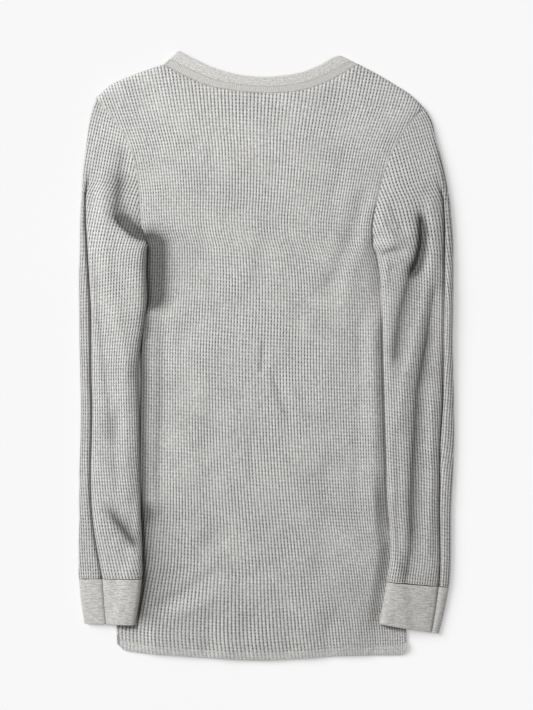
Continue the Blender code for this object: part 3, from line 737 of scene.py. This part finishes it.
def armhole_level(y, tip_y):
    share = np.clip((y - UNDERARM_Y) / (tip_y - UNDERARM_Y), 0, 1)
    return SIDE_LEVEL + ARMHOLE_RISE * np.sin(np.pi * share) ** 0.5


def round_over(distance, width):
    """Goes from 0 at an edge to 1 a width inside it, standing up steeply at the edge."""
    return np.sqrt(1 - (1 - np.clip(distance / width, 0, 1)) ** 2)


def back_height(x, y, inside):
    crown = body_crown(y) - crease_depth(x, y, BODY_CREASES, SOFT)
    for wave in BODY_WAVES:
        crown = crown + soft_waves(x, y, *wave)
    edge = np.where(y > UNDERARM_Y, armhole_level(y, np.where(x < 0, LEFT_TIP_Y, RIGHT_TIP_Y)),
                    SIDE_LEVEL)
    reach = np.where(x < 0, left_reach(y), right_reach(y))
    edge = edge - 0.3 * reach
    height = mix(edge, crown, round_over(inside, SIDE_ROLL + 1.5 * reach))
    beside_left = smoothstep((x - left_inner_low(y) - LEFT_PRESS.clear) / LEFT_PRESS.width)
    beside_right = smoothstep((right_inner_low(y) - x - RIGHT_PRESS.clear) / RIGHT_PRESS.width)
    beside = mix(1.0, beside_left * beside_right, smoothstep((LIFT_TOP - y) / (LIFT_TOP - LIFT_FULL)))
    height = mix(PRESSED, height, beside)
    top_edge = np.minimum(TOP_LEVEL + NECK_RISE * ((x > NECK_LEFT.x) & (x < NECK_RIGHT.x)), height)
    return mix(top_edge, height, round_over(back_top_y(x) - y, TOP_ROLL))


HEM_TURN = 0.9              # radius of the fold at the hem
HEM_DEPTHS = (9.5, 6.0, 3.0, 0.6)       # rows of the cloth that is turned up inside
HEM_ANGLES = (150, 120, 90, 60, 30)     # and round the fold


def turned_hem(grid, course, down):
    """The panel's rows with those of its folded hem before them."""
    rows = turned_edge(grid[0], np.array((0, 0, down)), HEM_TURN, HEM_DEPTHS, HEM_ANGLES)
    numbers = [course[0] - 1 - depth / COURSE_PITCH for depth in HEM_DEPTHS]
    numbers += [course[0] - angle / 180 for angle in HEM_ANGLES]
    return np.concatenate((rows, grid)), np.concatenate((np.array(numbers), course))


def build_body_panel(name, node, columns, rows, top, height, facing):
    """One panel. It faces up or down; its relief stands out on that side."""
    x, y, course, ids, inside, cut = body_plan(columns, rows, top)
    grid = np.stack((x, y, height(x, y, inside)), axis=-1)
    # Painted shade, on the back panel only: darker colour deep in its creases and in its listed dark
    # patches.
    fold = np.zeros(x.shape)
    if facing > 0:
        fold = (BODY_FOLD_SHADE * fold_shade_share(crease_depth(x, y, BODY_CREASES, SOFT))
                + crease_depth(x, y, BODY_SHADE_POCKETS, SHARP))
    grid, course = turned_hem(grid, course, facing)
    added = len(grid) - len(rows)
    fold = np.concatenate((np.repeat(fold[:1], added, axis=0), fold))
    relief = waffle_relief(columns[None, :], course)
    calm = smoothstep((course - 0.2) / 1.5)
    calm[:added] = 0
    edge = np.concatenate((np.zeros((added, len(columns)), bool), cut))
    relief = np.where(edge, 0, relief * mix(HEM_RELIEF, 1.0, calm))
    relief = relief * (1.0 if facing > 0 else FRONT_RELIEF)
    grid[..., 2] += facing * relief
    extra = np.arange(added * len(columns)).reshape(added, -1)
    ids = np.concatenate((extra, ids + added * len(columns)))
    uv = np.stack((np.broadcast_to(columns, course.shape), course), axis=-1)
    piece = cloth_mesh(name, grid, uv, BODY_WAFFLE, flip=facing < 0, ids=ids, fold=fold)
    return seat(piece, "waffle_knit", node)


def front_height(x, y, inside):
    edge = np.minimum(inside, front_top_y(x) - y)
    side = mix(SIDE_LEVEL - 0.5, FRONT_LEVEL + 0.4, round_over(edge, FRONT_ROLL))
    return side + 0.15 * (1 + soft_waves(x, y, *FRONT_WAVE))


EXTRA_WALES = 9             # on each side, cut off by the armholes
back_columns = knit_columns(BODY_WALES + 2 * EXTRA_WALES) - EXTRA_WALES
front_columns = np.arange(-EXTRA_WALES, BODY_WALES + EXTRA_WALES + 0.5, 0.5)
body_rows = np.arange(0, BODY_COURSES[-1].number + 0.5, 0.5)
back = build_body_panel("back_cloth", "back_panel", back_columns, body_rows, back_top_y,
                        back_height, 1)
front = build_body_panel("front_cloth", "front_panel", front_columns, body_rows, front_top_y,
                         front_height, -1)

# --- The sleeves and cuffs --------------------------------------------------------------------
Corner = namedtuple("Corner", "to_tuck to_inner hidden shift low crown plain plain_share upper")
# Corners of a sleeve's section from its inner edge over the top, round the pleat, and back along
# the underside. Across: shares of the way to the tuck and to the inner edge, a share of the hidden
# cloth, and a shift. Height: a fixed part and a share of the crown. Then the plain section's place
# across, its share of the dome's height, and how far the creases reach it.
CORNERS = table(
    Corner,
    (0, 1.00, 0, 1.0, 0.8, 0.30, 1.010, 0.38, 0.2),
    (0, 1.00, 0, -0.2, 0.8, 0.54, 1.000, 0.60, 0.5),
    (0, 1.00, 0, -3.0, 0.5, 0.82, 0.965, 0.82, 0.8),
    (0, 1.00, 0, -8.0, 0.2, 0.96, 0.89, 0.96, 1.0),
    (0.25, 0.75, 0, 0, 0.0, 1.00, 0.78, 1.00, 1.0),
    (0.45, 0.55, 0, 0, 0.0, 0.98, 0.64, 0.99, 1.0),
    (0.65, 0.35, 0, 0, 0.0, 0.93, 0.50, 0.96, 1.0),
    (0.85, 0.15, 0, 0, 0.0, 0.86, 0.38, 0.92, 1.0),
    (1, 0, 0, 5.0, 0.0, 0.77, 0.28, 0.88, 0.8),
    (1, 0, 0, 1.8, 0.0, 0.69, 0.20, 0.84, 0.5),
    (1, 0, 0, 0.1, 0.0, 0.52, 0.16, 0.81, 0.1),
    (1, 0, 0, -0.3, 0.0, 0.36, 0.14, 0.79, 0.0),
    (1, 0, 0, 1.0, 3.1, 0.00, 0.12, 0.77, 0.0),
    (1, 0, 1, -1.0, 2.8, 0.00, 0.11, 0.76, 0.0),
    (1, 0, 1, 0.0, 2.3, 0.00, 0.10, 0.74, 0.0),
    (1, 0, 1, -1.0, 1.8, 0.00, 0.085, 0.72, 0.0),
    (1, 0, 0, -0.4, 1.7, 0.00, 0.075, 0.70, 0.0),
    (1, 0, 0, -1.6, 1.7, 0.00, 0.065, 0.68, 0.0),
    (1, 0, 0, -4.2, 1.8, 0.40, 0.055, 0.66, 0.0),
    (0.50, 0, 0, 0.3, 1.8, 0.42, 0.046, 0.64, 0.0),
    (0.24, 0, 0, 0.6, 1.4, 0.38, 0.034, 0.60, 0.0),
    (0, 0, 0, 0.8, 1.2, 0.26, 0.012, 0.48, 0.0),
    (0, 0, 0, -0.4, 1.4, 0.08, -0.004, 0.30, 0.0),
    (0, 0, 0, 1.2, 0.9, 0.00, 0.015, 0.04, 0.0),
    (0, 0.25, 0, 0, 0.9, 0.00, 0.25, 0.0, 0.0),
    (0, 0.50, 0, 0, 0.9, 0.00, 0.50, 0.0, 0.0),
    (0, 0.75, 0, 0, 0.9, 0.00, 0.75, 0.0, 0.0),
    (0, 1.00, 0, -3.0, 0.9, 0.00, 0.96, 0.0, 0.0),
    (0, 1.00, 0, 0.6, 1.2, 0.08, 1.004, 0.12, 0.0),
)
# In a cuff the slot beside the pleat is shallow, and shows as a step.
SLOT = {16: 0.08, 17: 0.32}             # number of the corner, and its share of the crown
CUFF_CORNERS = [c._replace(crown=SLOT.get(i, c.crown)) for i, c in enumerate(CORNERS)]
PLEAT_MOST, PLEAT_LEAST = 10.0, 1.0     # hidden cloth in the pleat where it is folded or not
FULL_STACK = 0.45           # how far the pleat is folded where its section is complete
CAP_REACH = 14              # how far a sleeve's form runs on past its shoulder tip
TABLE_STEP = 3.0            # spacing of the precomputed sections along a sleeve
TABLE_POINTS = 480          # points round each of them


def rounded(ring):
    """Cuts the corners of a closed ring twice, which leaves it smooth and inside its corners."""
    for _ in range(2):
        following = np.roll(ring, -1, axis=0)
        ring = np.stack((0.75 * ring + 0.25 * following, 0.25 * ring + 0.75 * following), axis=1)
        ring = ring.reshape(-1, ring.shape[-1])
    return ring


class Sleeve:
    """The smooth form of a sleeve or cuff, looked up by a height along Y and a share round it. side is
    -1 on the left and 1 on the right."""

    def __init__(self, stations, crown, side, cap):
        self.side = side
        self.outer = smooth_curve([(row.outer_y, row.outer_x) for row in stations])
        inner = [(row.inner_y, row.inner_x) for row in stations]
        self.inner = smooth_curve(inner + cap)
        tuck = smooth_curve([(row.outer_y, row.tuck) for row in stations])
        pleat = smooth_curve([(row.outer_y, row.pleat) for row in stations])
        self.low = min(stations[-1].outer_y, stations[-1].inner_y) - 2 * TABLE_STEP
        self.high = stations[0].outer_y + (CAP_REACH if cap else 2 * TABLE_STEP)
        self.levels = np.arange(self.low, self.high + TABLE_STEP, TABLE_STEP)
        self.table, self.round = [], []
        corners = CORNERS if cap else CUFF_CORNERS
        column = {name: np.array([getattr(c, name) for c in corners]) for name in Corner._fields}
        for y in self.levels:
            width = abs(self.inner(y) - self.outer(y))
            folded = pleat(y)
            stack = smoothstep(folded / FULL_STACK)
            hidden = mix(PLEAT_LEAST, PLEAT_MOST, folded)
            height = crown(y)
            across = (tuck(y) * column["to_tuck"] + width * column["to_inner"]
                      + hidden * column["hidden"] + column["shift"])
            level = column["low"] + column["crown"] * height
            plain_level = FRONT_LEVEL + column["plain_share"] * (height - FRONT_LEVEL)
            ring = np.stack((mix(column["plain"] * width, across, stack),
                             mix(plain_level, level, stack), column["upper"]), axis=1)
            ring = rounded(ring)
            closed = np.concatenate((ring, ring[:1]))
            arc = lengths_along(closed[:, :2])
            spots = np.arange(TABLE_POINTS + 1) / TABLE_POINTS * arc[-1]
            self.table.append([np.interp(spots, arc, closed[:, k]) for k in range(3)])
            self.round.append(arc[-1])
        self.table = np.array(self.table).transpose(0, 2, 1)
        self.round = np.array(self.round)

    def at(self, y, share):
        """Distance from the outer edge, height, and reach of the creases."""
        row = np.clip((y - self.levels[0]) / TABLE_STEP, 0, len(self.levels) - 1.001)
        i, part = row.astype(int), (row % 1)[..., None]
        spot = (share % 1.0) * TABLE_POINTS
        k, rest = spot.astype(int), (spot % 1)[..., None]
        low = mix(self.table[i, k], self.table[i, k + 1], rest)
        high = mix(self.table[i + 1, k], self.table[i + 1, k + 1], rest)
        found = mix(low, high, part)
        return found[..., 0], found[..., 1], found[..., 2]


def sleeve_lift(x, y, side):
    inside = x - left_edge(y) if side < 0 else right_edge(y) - x
    lower = smoothstep((LIFT_TOP - y) / (LIFT_TOP - LIFT_FULL))
    return LIFT * smoothstep((inside + LIFT_OUTSIDE) / LIFT_WIDTH) * lower


Lay = namedtuple("Lay", "tilt shift creases pockets tip_y armhole_x")
# How the knit lies on a sleeve: the slope of its courses, how far its wales are turned round it, its
# creases and patches of painted shade, and the armhole that cuts it off.
SEAM_GAP = 0.3              # from the armhole seam to the sleeve
SEAM_NEAR = 9.0             # width over which a sleeve comes down to its armhole seam
UPPER_SHIFT = 0.6           # how much of the wales' turn the middle of the upper side takes


def sleeve_grid(form, shares, rows, lay):
    """Points where a sleeve's wales and courses cross. Returns them with their ids, which side of the
    armhole opening a cut edge is on, and how much painted fold shade each gets."""
    perimeter = np.interp(rows, form.levels, form.round)[:, None]
    inner_part = mix(UPPER_SHIFT, 1.0, smoothstep((np.abs(shares - 0.5) - 0.12) / 0.26))
    share = shares[None, :] - lay.shift(rows)[:, None] * inner_part / perimeter
    level = np.repeat(rows[:, None], len(shares), axis=1)
    middle = (form.outer(rows) + form.inner(rows))[:, None] / 2
    y = level
    for _ in range(2):
        across, height, reach = form.at(y, share)
        x = form.outer(y) - form.side * across
        y = level + lay.tilt(rows)[:, None] * (x - middle)
    across, height, reach = form.at(y, share)
    x = form.outer(y) - form.side * across
    depth = crease_depth(x, y, lay.creases, SHARP) * reach
    # Painted shade: darker colour deep in the sleeve's creases and in its listed dark patches.
    fold = fold_shade_share(depth) + crease_depth(x, y, lay.pockets, SOFT)
    height = height - depth
    height = height + soft_waves(x, y, *SLEEVE_WAVE) * reach
    height = np.maximum(height, 0.7) + sleeve_lift(x, y, form.side)
    ids = np.arange(x.size).reshape(x.shape)
    sides = np.zeros(x.shape, int)
    if lay.armhole_x is None:
        return np.stack((x, y, height), axis=-1), ids, sides, fold
    seam_x = lay.armhole_x(y) + form.side * SEAM_GAP
    upper = (share % 1.0) < 0.5
    seam_z = np.where(upper, armhole_level(y, lay.tip_y), FRONT_LEVEL + 0.3)
    beyond = (y > UNDERARM_Y) & ((x - seam_x) * form.side < 0)
    near = np.exp(-np.abs(x - seam_x) / SEAM_NEAR) * smoothstep((y - UNDERARM_Y + 6) / 12)
    height = mix(height, seam_z, near)
    for j in range(len(rows)):
        for mark, part in ((1, upper[j]), (2, ~upper[j])):
            hit = np.nonzero(beyond[j] & part)[0]
            if not len(hit):
                continue
            keep = hit[np.argmin(np.abs(x[j, hit] - seam_x[j, hit]))]
            y_seam = min(y[j, keep], lay.tip_y)
            x[j, hit] = lay.armhole_x(y_seam) + form.side * SEAM_GAP
            y[j, hit] = y_seam
            height[j, hit] = seam_z[j, keep]
            ids[j, hit] = ids[j, keep]
            sides[j, hit] = mark
    return np.stack((x, y, height), axis=-1), ids, sides, fold


def build_sleeve(name, node, form, low, high, lay):
    columns = knit_columns(SLEEVE_WALES)
    courses = np.arange(0, (high - low) / COURSE_PITCH, 0.5)
    rows = low + courses * COURSE_PITCH
    grid, ids, sides, fold = sleeve_grid(form, columns / SLEEVE_WALES, rows, lay)
    normals = grid_normals(grid, True) * form.side
    relief = waffle_relief(columns[None, :], courses[:, None])
    relief = np.where(sides > 0, 0, relief)
    relief *= np.where(np.arange(len(rows)) < 2, 0.4, 1.0)[:, None]     # less at the cuff's seam
    grid = grid + normals * relief[..., None]
    grid[..., 2] = np.maximum(grid[..., 2], FLOOR_GAP)
    uv = np.stack(np.broadcast_arrays(columns[None, :], courses[:, None]), axis=-1).astype(float)
    piece = cloth_mesh(name, grid, uv, WAFFLE, closed=True, flip=form.side < 0, ids=ids, sides=sides,
                       fold=fold)
    return seat(piece, "waffle_knit", node)


CUFF_POINTS = 170           # round a cuff
CUFF_ROW = 1.6              # spacing of its rows
CUFF_STAND = 0.5            # how far its cloth stands out from the form
CUFF_TURN = 0.6             # radius of its fold at the wrist
CUFF_DEPTHS = (12.0, 8.0, 4.0, 0.5)     # rows of its inner layer
CUFF_ANGLES = (150, 115, 80, 45, 20)    # and round the fold
CUFF_ROUND = 150.0          # length of its chart


def build_cuff(name, node, form, low, high, tilt):
    """A doubled band: it turns in at the wrist and runs back up inside."""
    shares = np.arange(CUFF_POINTS) / CUFF_POINTS
    rows = np.concatenate((np.arange(low, high, CUFF_ROW), [high]))
    grid = sleeve_grid(form, shares, rows, Lay(tilt, lambda y: y * 0, (), (), None, None))[0]
    normals = grid_normals(grid, True) * form.side
    grid = grid + normals * CUFF_STAND
    folded = turned_edge(grid[0], normals[0], CUFF_TURN, CUFF_DEPTHS, CUFF_ANGLES)
    grid = np.concatenate((folded, grid))
    grid[..., 2] = np.maximum(grid[..., 2], FLOOR_GAP)
    around = np.broadcast_to(shares * CUFF_ROUND, grid.shape[:2])
    along = np.concatenate((low - np.linspace(14, 0.5, len(folded)), rows))
    uv = np.stack((around, np.broadcast_to(along[:, None], grid.shape[:2])), axis=-1)
    piece = cloth_mesh(name, grid, uv, JERSEY, closed=True, flip=form.side < 0)
    return seat(piece, "rib_jersey", node)


left_crown = smooth_curve(((-310, 9.2), (-285, 10.8), (-257, 12.2), (-200, 13.2), (-90, 14.0),
                           (20, 15.0), (110, 16.4), (160, 13.6), (230, 9.8), (300, 5.6)))
right_crown = smooth_curve(((-318, 9.2), (-290, 10.8), (-262, 12.0), (-200, 12.8), (-90, 13.6),
                            (20, 14.2), (110, 14.8), (160, 13.4), (230, 10.2), (300, 5.8)))
left_tilt = smooth_curve(((-309, -0.02), (-257, 0.006), (-200, 0.0), (-30, 0.02), (17, 0.05),
                          (63, 0.14), (100, 0.14), (143, -0.12), (178, -0.18), (212, -0.21),
                          (300, -0.34)))
right_tilt = smooth_curve(((-314, -0.169), (-263, -0.094), (-225, -0.17), (20, -0.18), (70, -0.28),
                           (110, -0.15), (150, 0.06), (200, 0.22), (300, 0.3)))
left_shift = smooth_curve(((-260, 26), (-205, 13), (-150, 4), (-100, 0), (60, 0), (110, 3), (160, 8),
                           (220, 14), (300, 20)))
right_shift = smooth_curve(((-260, 0), (60, 0), (110, 3), (160, 8), (220, 14), (300, 20)))
# The sleeve's width goes on growing over the armhole, which cuts its wales off at a slant.
LEFT_CAP = [(160, -131), (200, -122), (250, -113), (300, -108)]
RIGHT_CAP = [(160, 114), (200, 106), (250, 98), (300, 92)]

left_lay = Lay(left_tilt, left_shift, LEFT_SLEEVE_CREASES, LEFT_SLEEVE_SHADE_POCKETS, LEFT_TIP_Y,
               left_armhole_x)
right_lay = Lay(right_tilt, right_shift, RIGHT_SLEEVE_CREASES, RIGHT_SLEEVE_SHADE_POCKETS, RIGHT_TIP_Y,
                right_armhole_x)
CUFF_STEP = 0.6             # how much lower a cuff is than the sleeve's end

left_form = Sleeve(LEFT_SLEEVE, left_crown, -1, LEFT_CAP)
right_form = Sleeve(RIGHT_SLEEVE, right_crown, 1, RIGHT_CAP)
left_cuff_form = Sleeve(LEFT_CUFF, lambda y: left_crown(y) - CUFF_STEP, -1, [])
right_cuff_form = Sleeve(RIGHT_CUFF, lambda y: right_crown(y) - CUFF_STEP, 1, [])
sleeve_left = build_sleeve("sleeve_left_cloth", "sleeve_left", left_form, -256.4, 318, left_lay)
sleeve_right = build_sleeve("sleeve_right_cloth", "sleeve_right", right_form, -262.9, 306, right_lay)
cuff_left = build_cuff("cuff_left_cloth", "cuff_left", left_cuff_form, -308.6, -257.2, left_tilt)
cuff_right = build_cuff("cuff_right_cloth", "cuff_right", right_cuff_form, -313.9, -263.8, right_tilt)

# --- The neckband -----------------------------------------------------------------------------
BAND_STATIONS = 120         # across each half
BAND_WALL = 0.9             # half the doubled band's thickness
BAND_END = 0.014            # share of the width left to the fold at each shoulder
BAND_BACK, BAND_FRONT = 3.7, 1.2        # heights of its two halves
BAND_CHART, BAND_INSIDE = 18.0, 40.0    # width of its chart, and where the inner layer's starts
Across = namedtuple("Across", "share face")
BAND_PROFILE = tuple(       # over the face from the seam to the free edge, and back inside
    [Across(-0.07, 0.55), Across(-0.05, 0.95), Across(0.0, 1.05)]
    + [Across(share, 1.0 if share > 0.4 else 1.3) for share in np.linspace(0.06, 0.93, 22)]
    + [Across(0.955, 0.86), Across(0.98, 0.6), Across(0.995, 0.25), Across(1.0, 0.0)]
    + [Across(0.995, -0.25), Across(0.98, -0.6), Across(0.955, -0.86)]
    + [Across(share, -1.0) for share in np.linspace(0.9, 0.1, 9)]
)


def build_neckband():
    """A flattened ring of doubled jersey; its front half lies under its back half."""
    turns = np.pi * np.arange(BAND_STATIONS + 1) / BAND_STATIONS
    shares = mix(BAND_END, 1 - BAND_END, (1 - np.cos(turns)) / 2)
    stations = [(share, 0.0, BAND_BACK, 0.0, 0.0) for share in shares]
    radius, middle = (BAND_BACK - BAND_FRONT) / 2, (BAND_BACK + BAND_FRONT) / 2

    def fold(share, inward):
        found = []
        for angle in range(-90, 91, 15):
            turn = math.radians(angle)
            inset = inward * (0.6 + radius * (1 - math.cos(turn)))
            found.append((share, inset, middle - radius * math.sin(turn), (angle + 90) / 180, inward))
        return found

    stations += fold(1, -1)
    stations += [(share, 0.0, BAND_FRONT, 1.0, 0.0) for share in shares[::-1]]
    stations += fold(0, 1)[::-1]
    grid, uv = [], []
    around = 0.0
    last = None
    for share, inset, level, frontness, inward in stations:
        seam_x = mix(NECK_LEFT.x, NECK_RIGHT.x, share) + inset
        hole_x = mix(HOLE_LEFT.x, HOLE_RIGHT.x, share) + inset
        front_seam_y = scoop_y(seam_x, NECK_LEFT, NECK_RIGHT, FRONT_NECK_DROP)
        front_hole_y = scoop_y(hole_x, HOLE_LEFT, HOLE_RIGHT, FRONT_HOLE_DROP)
        seam_y = mix(back_neck_y(seam_x), front_seam_y, frontness)
        hole_y = mix(back_hole_y(hole_x), front_hole_y, frontness)
        turn = math.pi * frontness
        normal = np.array((-inward * math.sin(turn), 0.0, math.cos(turn)))
        here = np.array((seam_x, float(seam_y)))
        around += 0.0 if last is None else float(np.hypot(*(here - last)))
        last = here
        row, row_uv = [], []
        for spot in BAND_PROFILE:
            point = np.array((mix(seam_x, hole_x, spot.share), mix(seam_y, hole_y, spot.share), level))
            row.append(point + normal * BAND_WALL * spot.face)
            chart = spot.share * BAND_CHART
            row_uv.append((around, chart if spot.face >= 0 else BAND_INSIDE - chart))
        grid.append(row)
        uv.append(row_uv)
    grid.append(grid[0])
    uv.append([(around + 1.0, v) for _, v in uv[0]])
    grid, uv = np.array(grid, float), np.array(uv, float)
    ids = np.arange(grid.shape[0] * grid.shape[1]).reshape(grid.shape[:2])
    ids[-1] = ids[0]
    piece = cloth_mesh("neckband_cloth", grid, uv, NECKBAND, ids=ids, flip=True)
    return seat(piece, "rib_jersey", "neckband")


neckband = build_neckband()


# --- Seams and stitches -----------------------------------------------------------------------
WELT_WIDTH, WELT_HEIGHT = 2.8, 0.9
WELT_PROFILE = ((-0.5, -0.6), (-0.42, 0.5), (-0.2, 0.95), (0.0, 0.8), (0.2, 0.95), (0.42, 0.5),
                (0.5, -0.6))            # shares of its width and height
LEFT_WELT_START, RIGHT_WELT_START = UNDERARM_Y + 16, UNDERARM_Y + 6
Stitch = namedtuple("Stitch", "pitch length width height")
NECK_STITCH, HEM_STITCH = Stitch(2.1, 1.7, 0.6, 0.4), Stitch(3.0, 2.2, 0.8, 0.5)
NECK_STITCH_LOW, NECK_STITCH_HIGH = 0.06, 0.34      # shares of the neckband's width
HEM_STITCH_RISE = 9.0       # distance of the stitches from the hem


def unit(rows):
    return rows / np.linalg.norm(rows, axis=1, keepdims=True)


def welt(name, path):
    """A flat seam: a low arched strip along a path of points on the cloth."""
    path = np.array(path, float)
    run = unit(np.gradient(path[:, :2], axis=0))
    rows, uv = [], []
    for point, ahead, place in zip(path, run, lengths_along(path[:, :2])):
        rows.append([(point[0] - ahead[1] * WELT_WIDTH * off, point[1] + ahead[0] * WELT_WIDTH * off,
                      point[2] + WELT_HEIGHT * up) for off, up in WELT_PROFILE])
        uv.append([(place, WELT_WIDTH * off) for off, up in WELT_PROFILE])
    return seat(cloth_mesh(name, np.array(rows), np.array(uv), WELT, flip=True), "rib_jersey")


# A stitch's corners: shares of its length ahead, of its width aside and of its height.
STITCH_CORNERS = ((-0.5, 0, 0), (-0.25, 0.5, 0.3), (0.25, 0.5, 0.3), (0.5, 0, 0), (0.25, -0.5, 0.3),
                  (-0.25, -0.5, 0.3), (-0.25, 0, 1), (0.25, 0, 1))
STITCH_FACES = ((0, 6, 1), (1, 6, 7, 2), (2, 7, 3), (3, 7, 4), (4, 7, 6, 5), (5, 6, 0))


def stitches(name, path, stitch):
    """A row of small raised stitches along a path."""
    path = np.array(path, float)
    arc = lengths_along(path)
    spots = np.arange(stitch.pitch / 2, arc[-1], stitch.pitch)

    def on_path(places):
        return np.stack([np.interp(places, arc, path[:, k]) for k in range(3)], axis=1)

    run = unit(on_path(spots + 0.5) - on_path(spots - 0.5))
    aside = np.stack((-run[:, 1], run[:, 0], np.zeros(len(run))), axis=1)
    up = np.array((0.0, 0.0, stitch.height))
    points, faces = [], []
    for centre, r, a in zip(on_path(spots), run, aside):
        faces += [[len(points) + v for v in face] for face in STITCH_FACES]
        points += [centre + r * stitch.length * ahead + a * stitch.width * out + up * rise
                   for ahead, out, rise in STITCH_CORNERS]
    flat = np.array([points[v][:2] for face in faces for v in face]).ravel()
    piece = add_piece(name, [tuple(p * MM) for p in points], faces, flat, THREAD)
    return seat(piece, "rib_jersey")


def armhole_path(curve, tip_y, start):
    return [(float(curve(y)), y, float(armhole_level(y, tip_y)) + 0.15)
            for y in np.linspace(start, tip_y - 1.0, 90)]


def neck_path(share):
    """Along the back half of the neckband, at a share of its width."""
    found = []
    for part in np.linspace(0.012, 0.988, 160):
        seam_x = mix(NECK_LEFT.x, NECK_RIGHT.x, part)
        hole_x = mix(HOLE_LEFT.x, HOLE_RIGHT.x, part)
        found.append((mix(seam_x, hole_x, share), mix(back_neck_y(seam_x), back_hole_y(hole_x), share),
                      BAND_BACK + BAND_WALL * 1.3))
    return found


def hem_path(rise):
    x = mix(HEM[0].x, HEM[-1].x, np.linspace(0.035, 0.965, 220))
    y = hem_y(x) + rise
    inside = np.minimum(x - left_edge(y), right_edge(y) - x)
    return np.stack((x, y, back_height(x, y, inside) + WAFFLE_HEIGHT * 0.8), axis=1)


seams = [
    welt("armhole_seam_left", armhole_path(left_armhole_x, LEFT_TIP_Y, LEFT_WELT_START)),
    welt("armhole_seam_right", armhole_path(right_armhole_x, RIGHT_TIP_Y, RIGHT_WELT_START)),
]
neck_stitches = [
    stitches("neck_stitches_low", neck_path(NECK_STITCH_LOW), NECK_STITCH),
    stitches("neck_stitches_high", neck_path(NECK_STITCH_HIGH), NECK_STITCH),
]
hem_stitches = stitches("hem_stitches", hem_path(HEM_STITCH_RISE), HEM_STITCH)

# --- The scene --------------------------------------------------------------------------------
VIEW_HEIGHT = 0.8165        # what the picture shows, top to bottom, in metres
CAMERA_HEIGHT = 2.2
CAMERA_CENTRE = (0.0002, -0.0002)
SENSOR = 36.0
FLOOR_COLOUR = (0.80, 0.80, 0.80, 1)
FLOOR_HALF = 4.0
FLOOR_DROP = 0.0004         # of the floor under the garment
BACKDROP_COLOUR = (0.93, 0.93, 0.93, 1)
SKY_STRENGTH = 0.24
Sun = namedtuple("Sun", "name strength spread turn")    # the turn points towards the light
FLOOR_SUNS = (Sun("floor_key", 2.71, 34.0, (-0.74, 0.42, 0.52)),
              Sun("floor_top", 1.51, 60.0, (0, 0, 1)))
FILL_SUN = Sun("fill", 0.42, 60.0, (0.88, -0.26, 0.40))     # opens the garment's far edges
KEY_STRENGTH = 3.58                  # on the garment, as a sun's strength at its middle
KEY_TURN = (-0.60, 0.38, 0.71)      # direction towards the garment's key light
KEY_DISTANCE, KEY_SIZE = 2.2, 0.8


def build_stage():
    mesh = bpy.data.meshes.new("floor")
    corners = ((-1, -1), (1, -1), (1, 1), (-1, 1))
    mesh.from_pydata([(x * FLOOR_HALF, y * FLOOR_HALF, 0) for x, y in corners], [], [(0, 1, 2, 3)])
    n = Nodes("floor_look")
    place = n.add("ShaderNodeTexCoord").outputs["Object"]
    colour = n.tint(FLOOR_COLOUR, n.noise(place, 3.0), 0.998, 1.002)
    mesh.materials.append(n.finish(colour, 1.0, 0.0))
    n.shader.inputs["Specular IOR Level"].default_value = 0.0
    floor = bpy.data.objects.new("floor", mesh)
    floor.location.z = -FLOOR_DROP
    bpy.context.scene.collection.objects.link(floor)


def add_lamp(data, turn, distance=0.0):
    lamp = bpy.data.objects.new(data.name, data)
    towards = Vector(turn).normalized()
    lamp.location = towards * distance
    lamp.rotation_euler = towards.to_track_quat("Z", "Y").to_euler()
    bpy.context.scene.collection.objects.link(lamp)
    return lamp


def add_sun(sun):
    data = bpy.data.lights.new(sun.name, "SUN")
    data.energy = sun.strength
    data.angle = math.radians(sun.spread)
    return add_lamp(data, sun.turn)


def build_light():
    """A broad soft key from the upper left and a weak fill from the right on the garment. The floor
    has its own key and overhead light, so it stays pale and its shadows stay soft."""
    scene = bpy.context.scene
    world = bpy.data.worlds.new("studio")
    world.use_nodes = True
    tree = world.node_tree
    lighting = tree.nodes["Background"]
    lighting.inputs["Color"].default_value = (1, 1, 1, 1)
    lighting.inputs["Strength"].default_value = SKY_STRENGTH
    backdrop = tree.nodes.new("ShaderNodeBackground")
    backdrop.inputs["Color"].default_value = BACKDROP_COLOUR
    choice = tree.nodes.new("ShaderNodeMixShader")
    tree.links.new(tree.nodes.new("ShaderNodeLightPath").outputs["Is Camera Ray"], choice.inputs[0])
    tree.links.new(lighting.outputs[0], choice.inputs[1])
    tree.links.new(backdrop.outputs[0], choice.inputs[2])
    tree.links.new(choice.outputs[0], tree.nodes["World Output"].inputs["Surface"])
    scene.world = world
    on_floor = bpy.data.collections.new("lit_floor")
    on_garment = bpy.data.collections.new("lit_garment")
    for piece in scene.objects:
        if piece.type == "MESH":
            (on_floor if piece.name == "floor" else on_garment).objects.link(piece)
    for sun in FLOOR_SUNS:
        add_sun(sun).light_linking.receiver_collection = on_floor
    add_sun(FILL_SUN).light_linking.receiver_collection = on_garment
    panel = bpy.data.lights.new("key", "AREA")
    panel.shape = "DISK"
    panel.size = KEY_SIZE
    panel.energy = KEY_STRENGTH * math.pi * KEY_DISTANCE ** 2
    add_lamp(panel, KEY_TURN, KEY_DISTANCE).light_linking.receiver_collection = on_garment


def build_camera():
    scene = bpy.context.scene
    lens = bpy.data.cameras.new("camera")
    lens.sensor_fit = "VERTICAL"
    lens.sensor_height = SENSOR
    lens.lens = SENSOR * CAMERA_HEIGHT / VIEW_HEIGHT
    camera = bpy.data.objects.new("camera", lens)
    camera.location = (*CAMERA_CENTRE, CAMERA_HEIGHT)
    scene.collection.objects.link(camera)
    scene.camera = camera
    scene.view_settings.view_transform = "Standard"
    scene.view_settings.look = "None"


build_stage()
build_light()
build_camera()
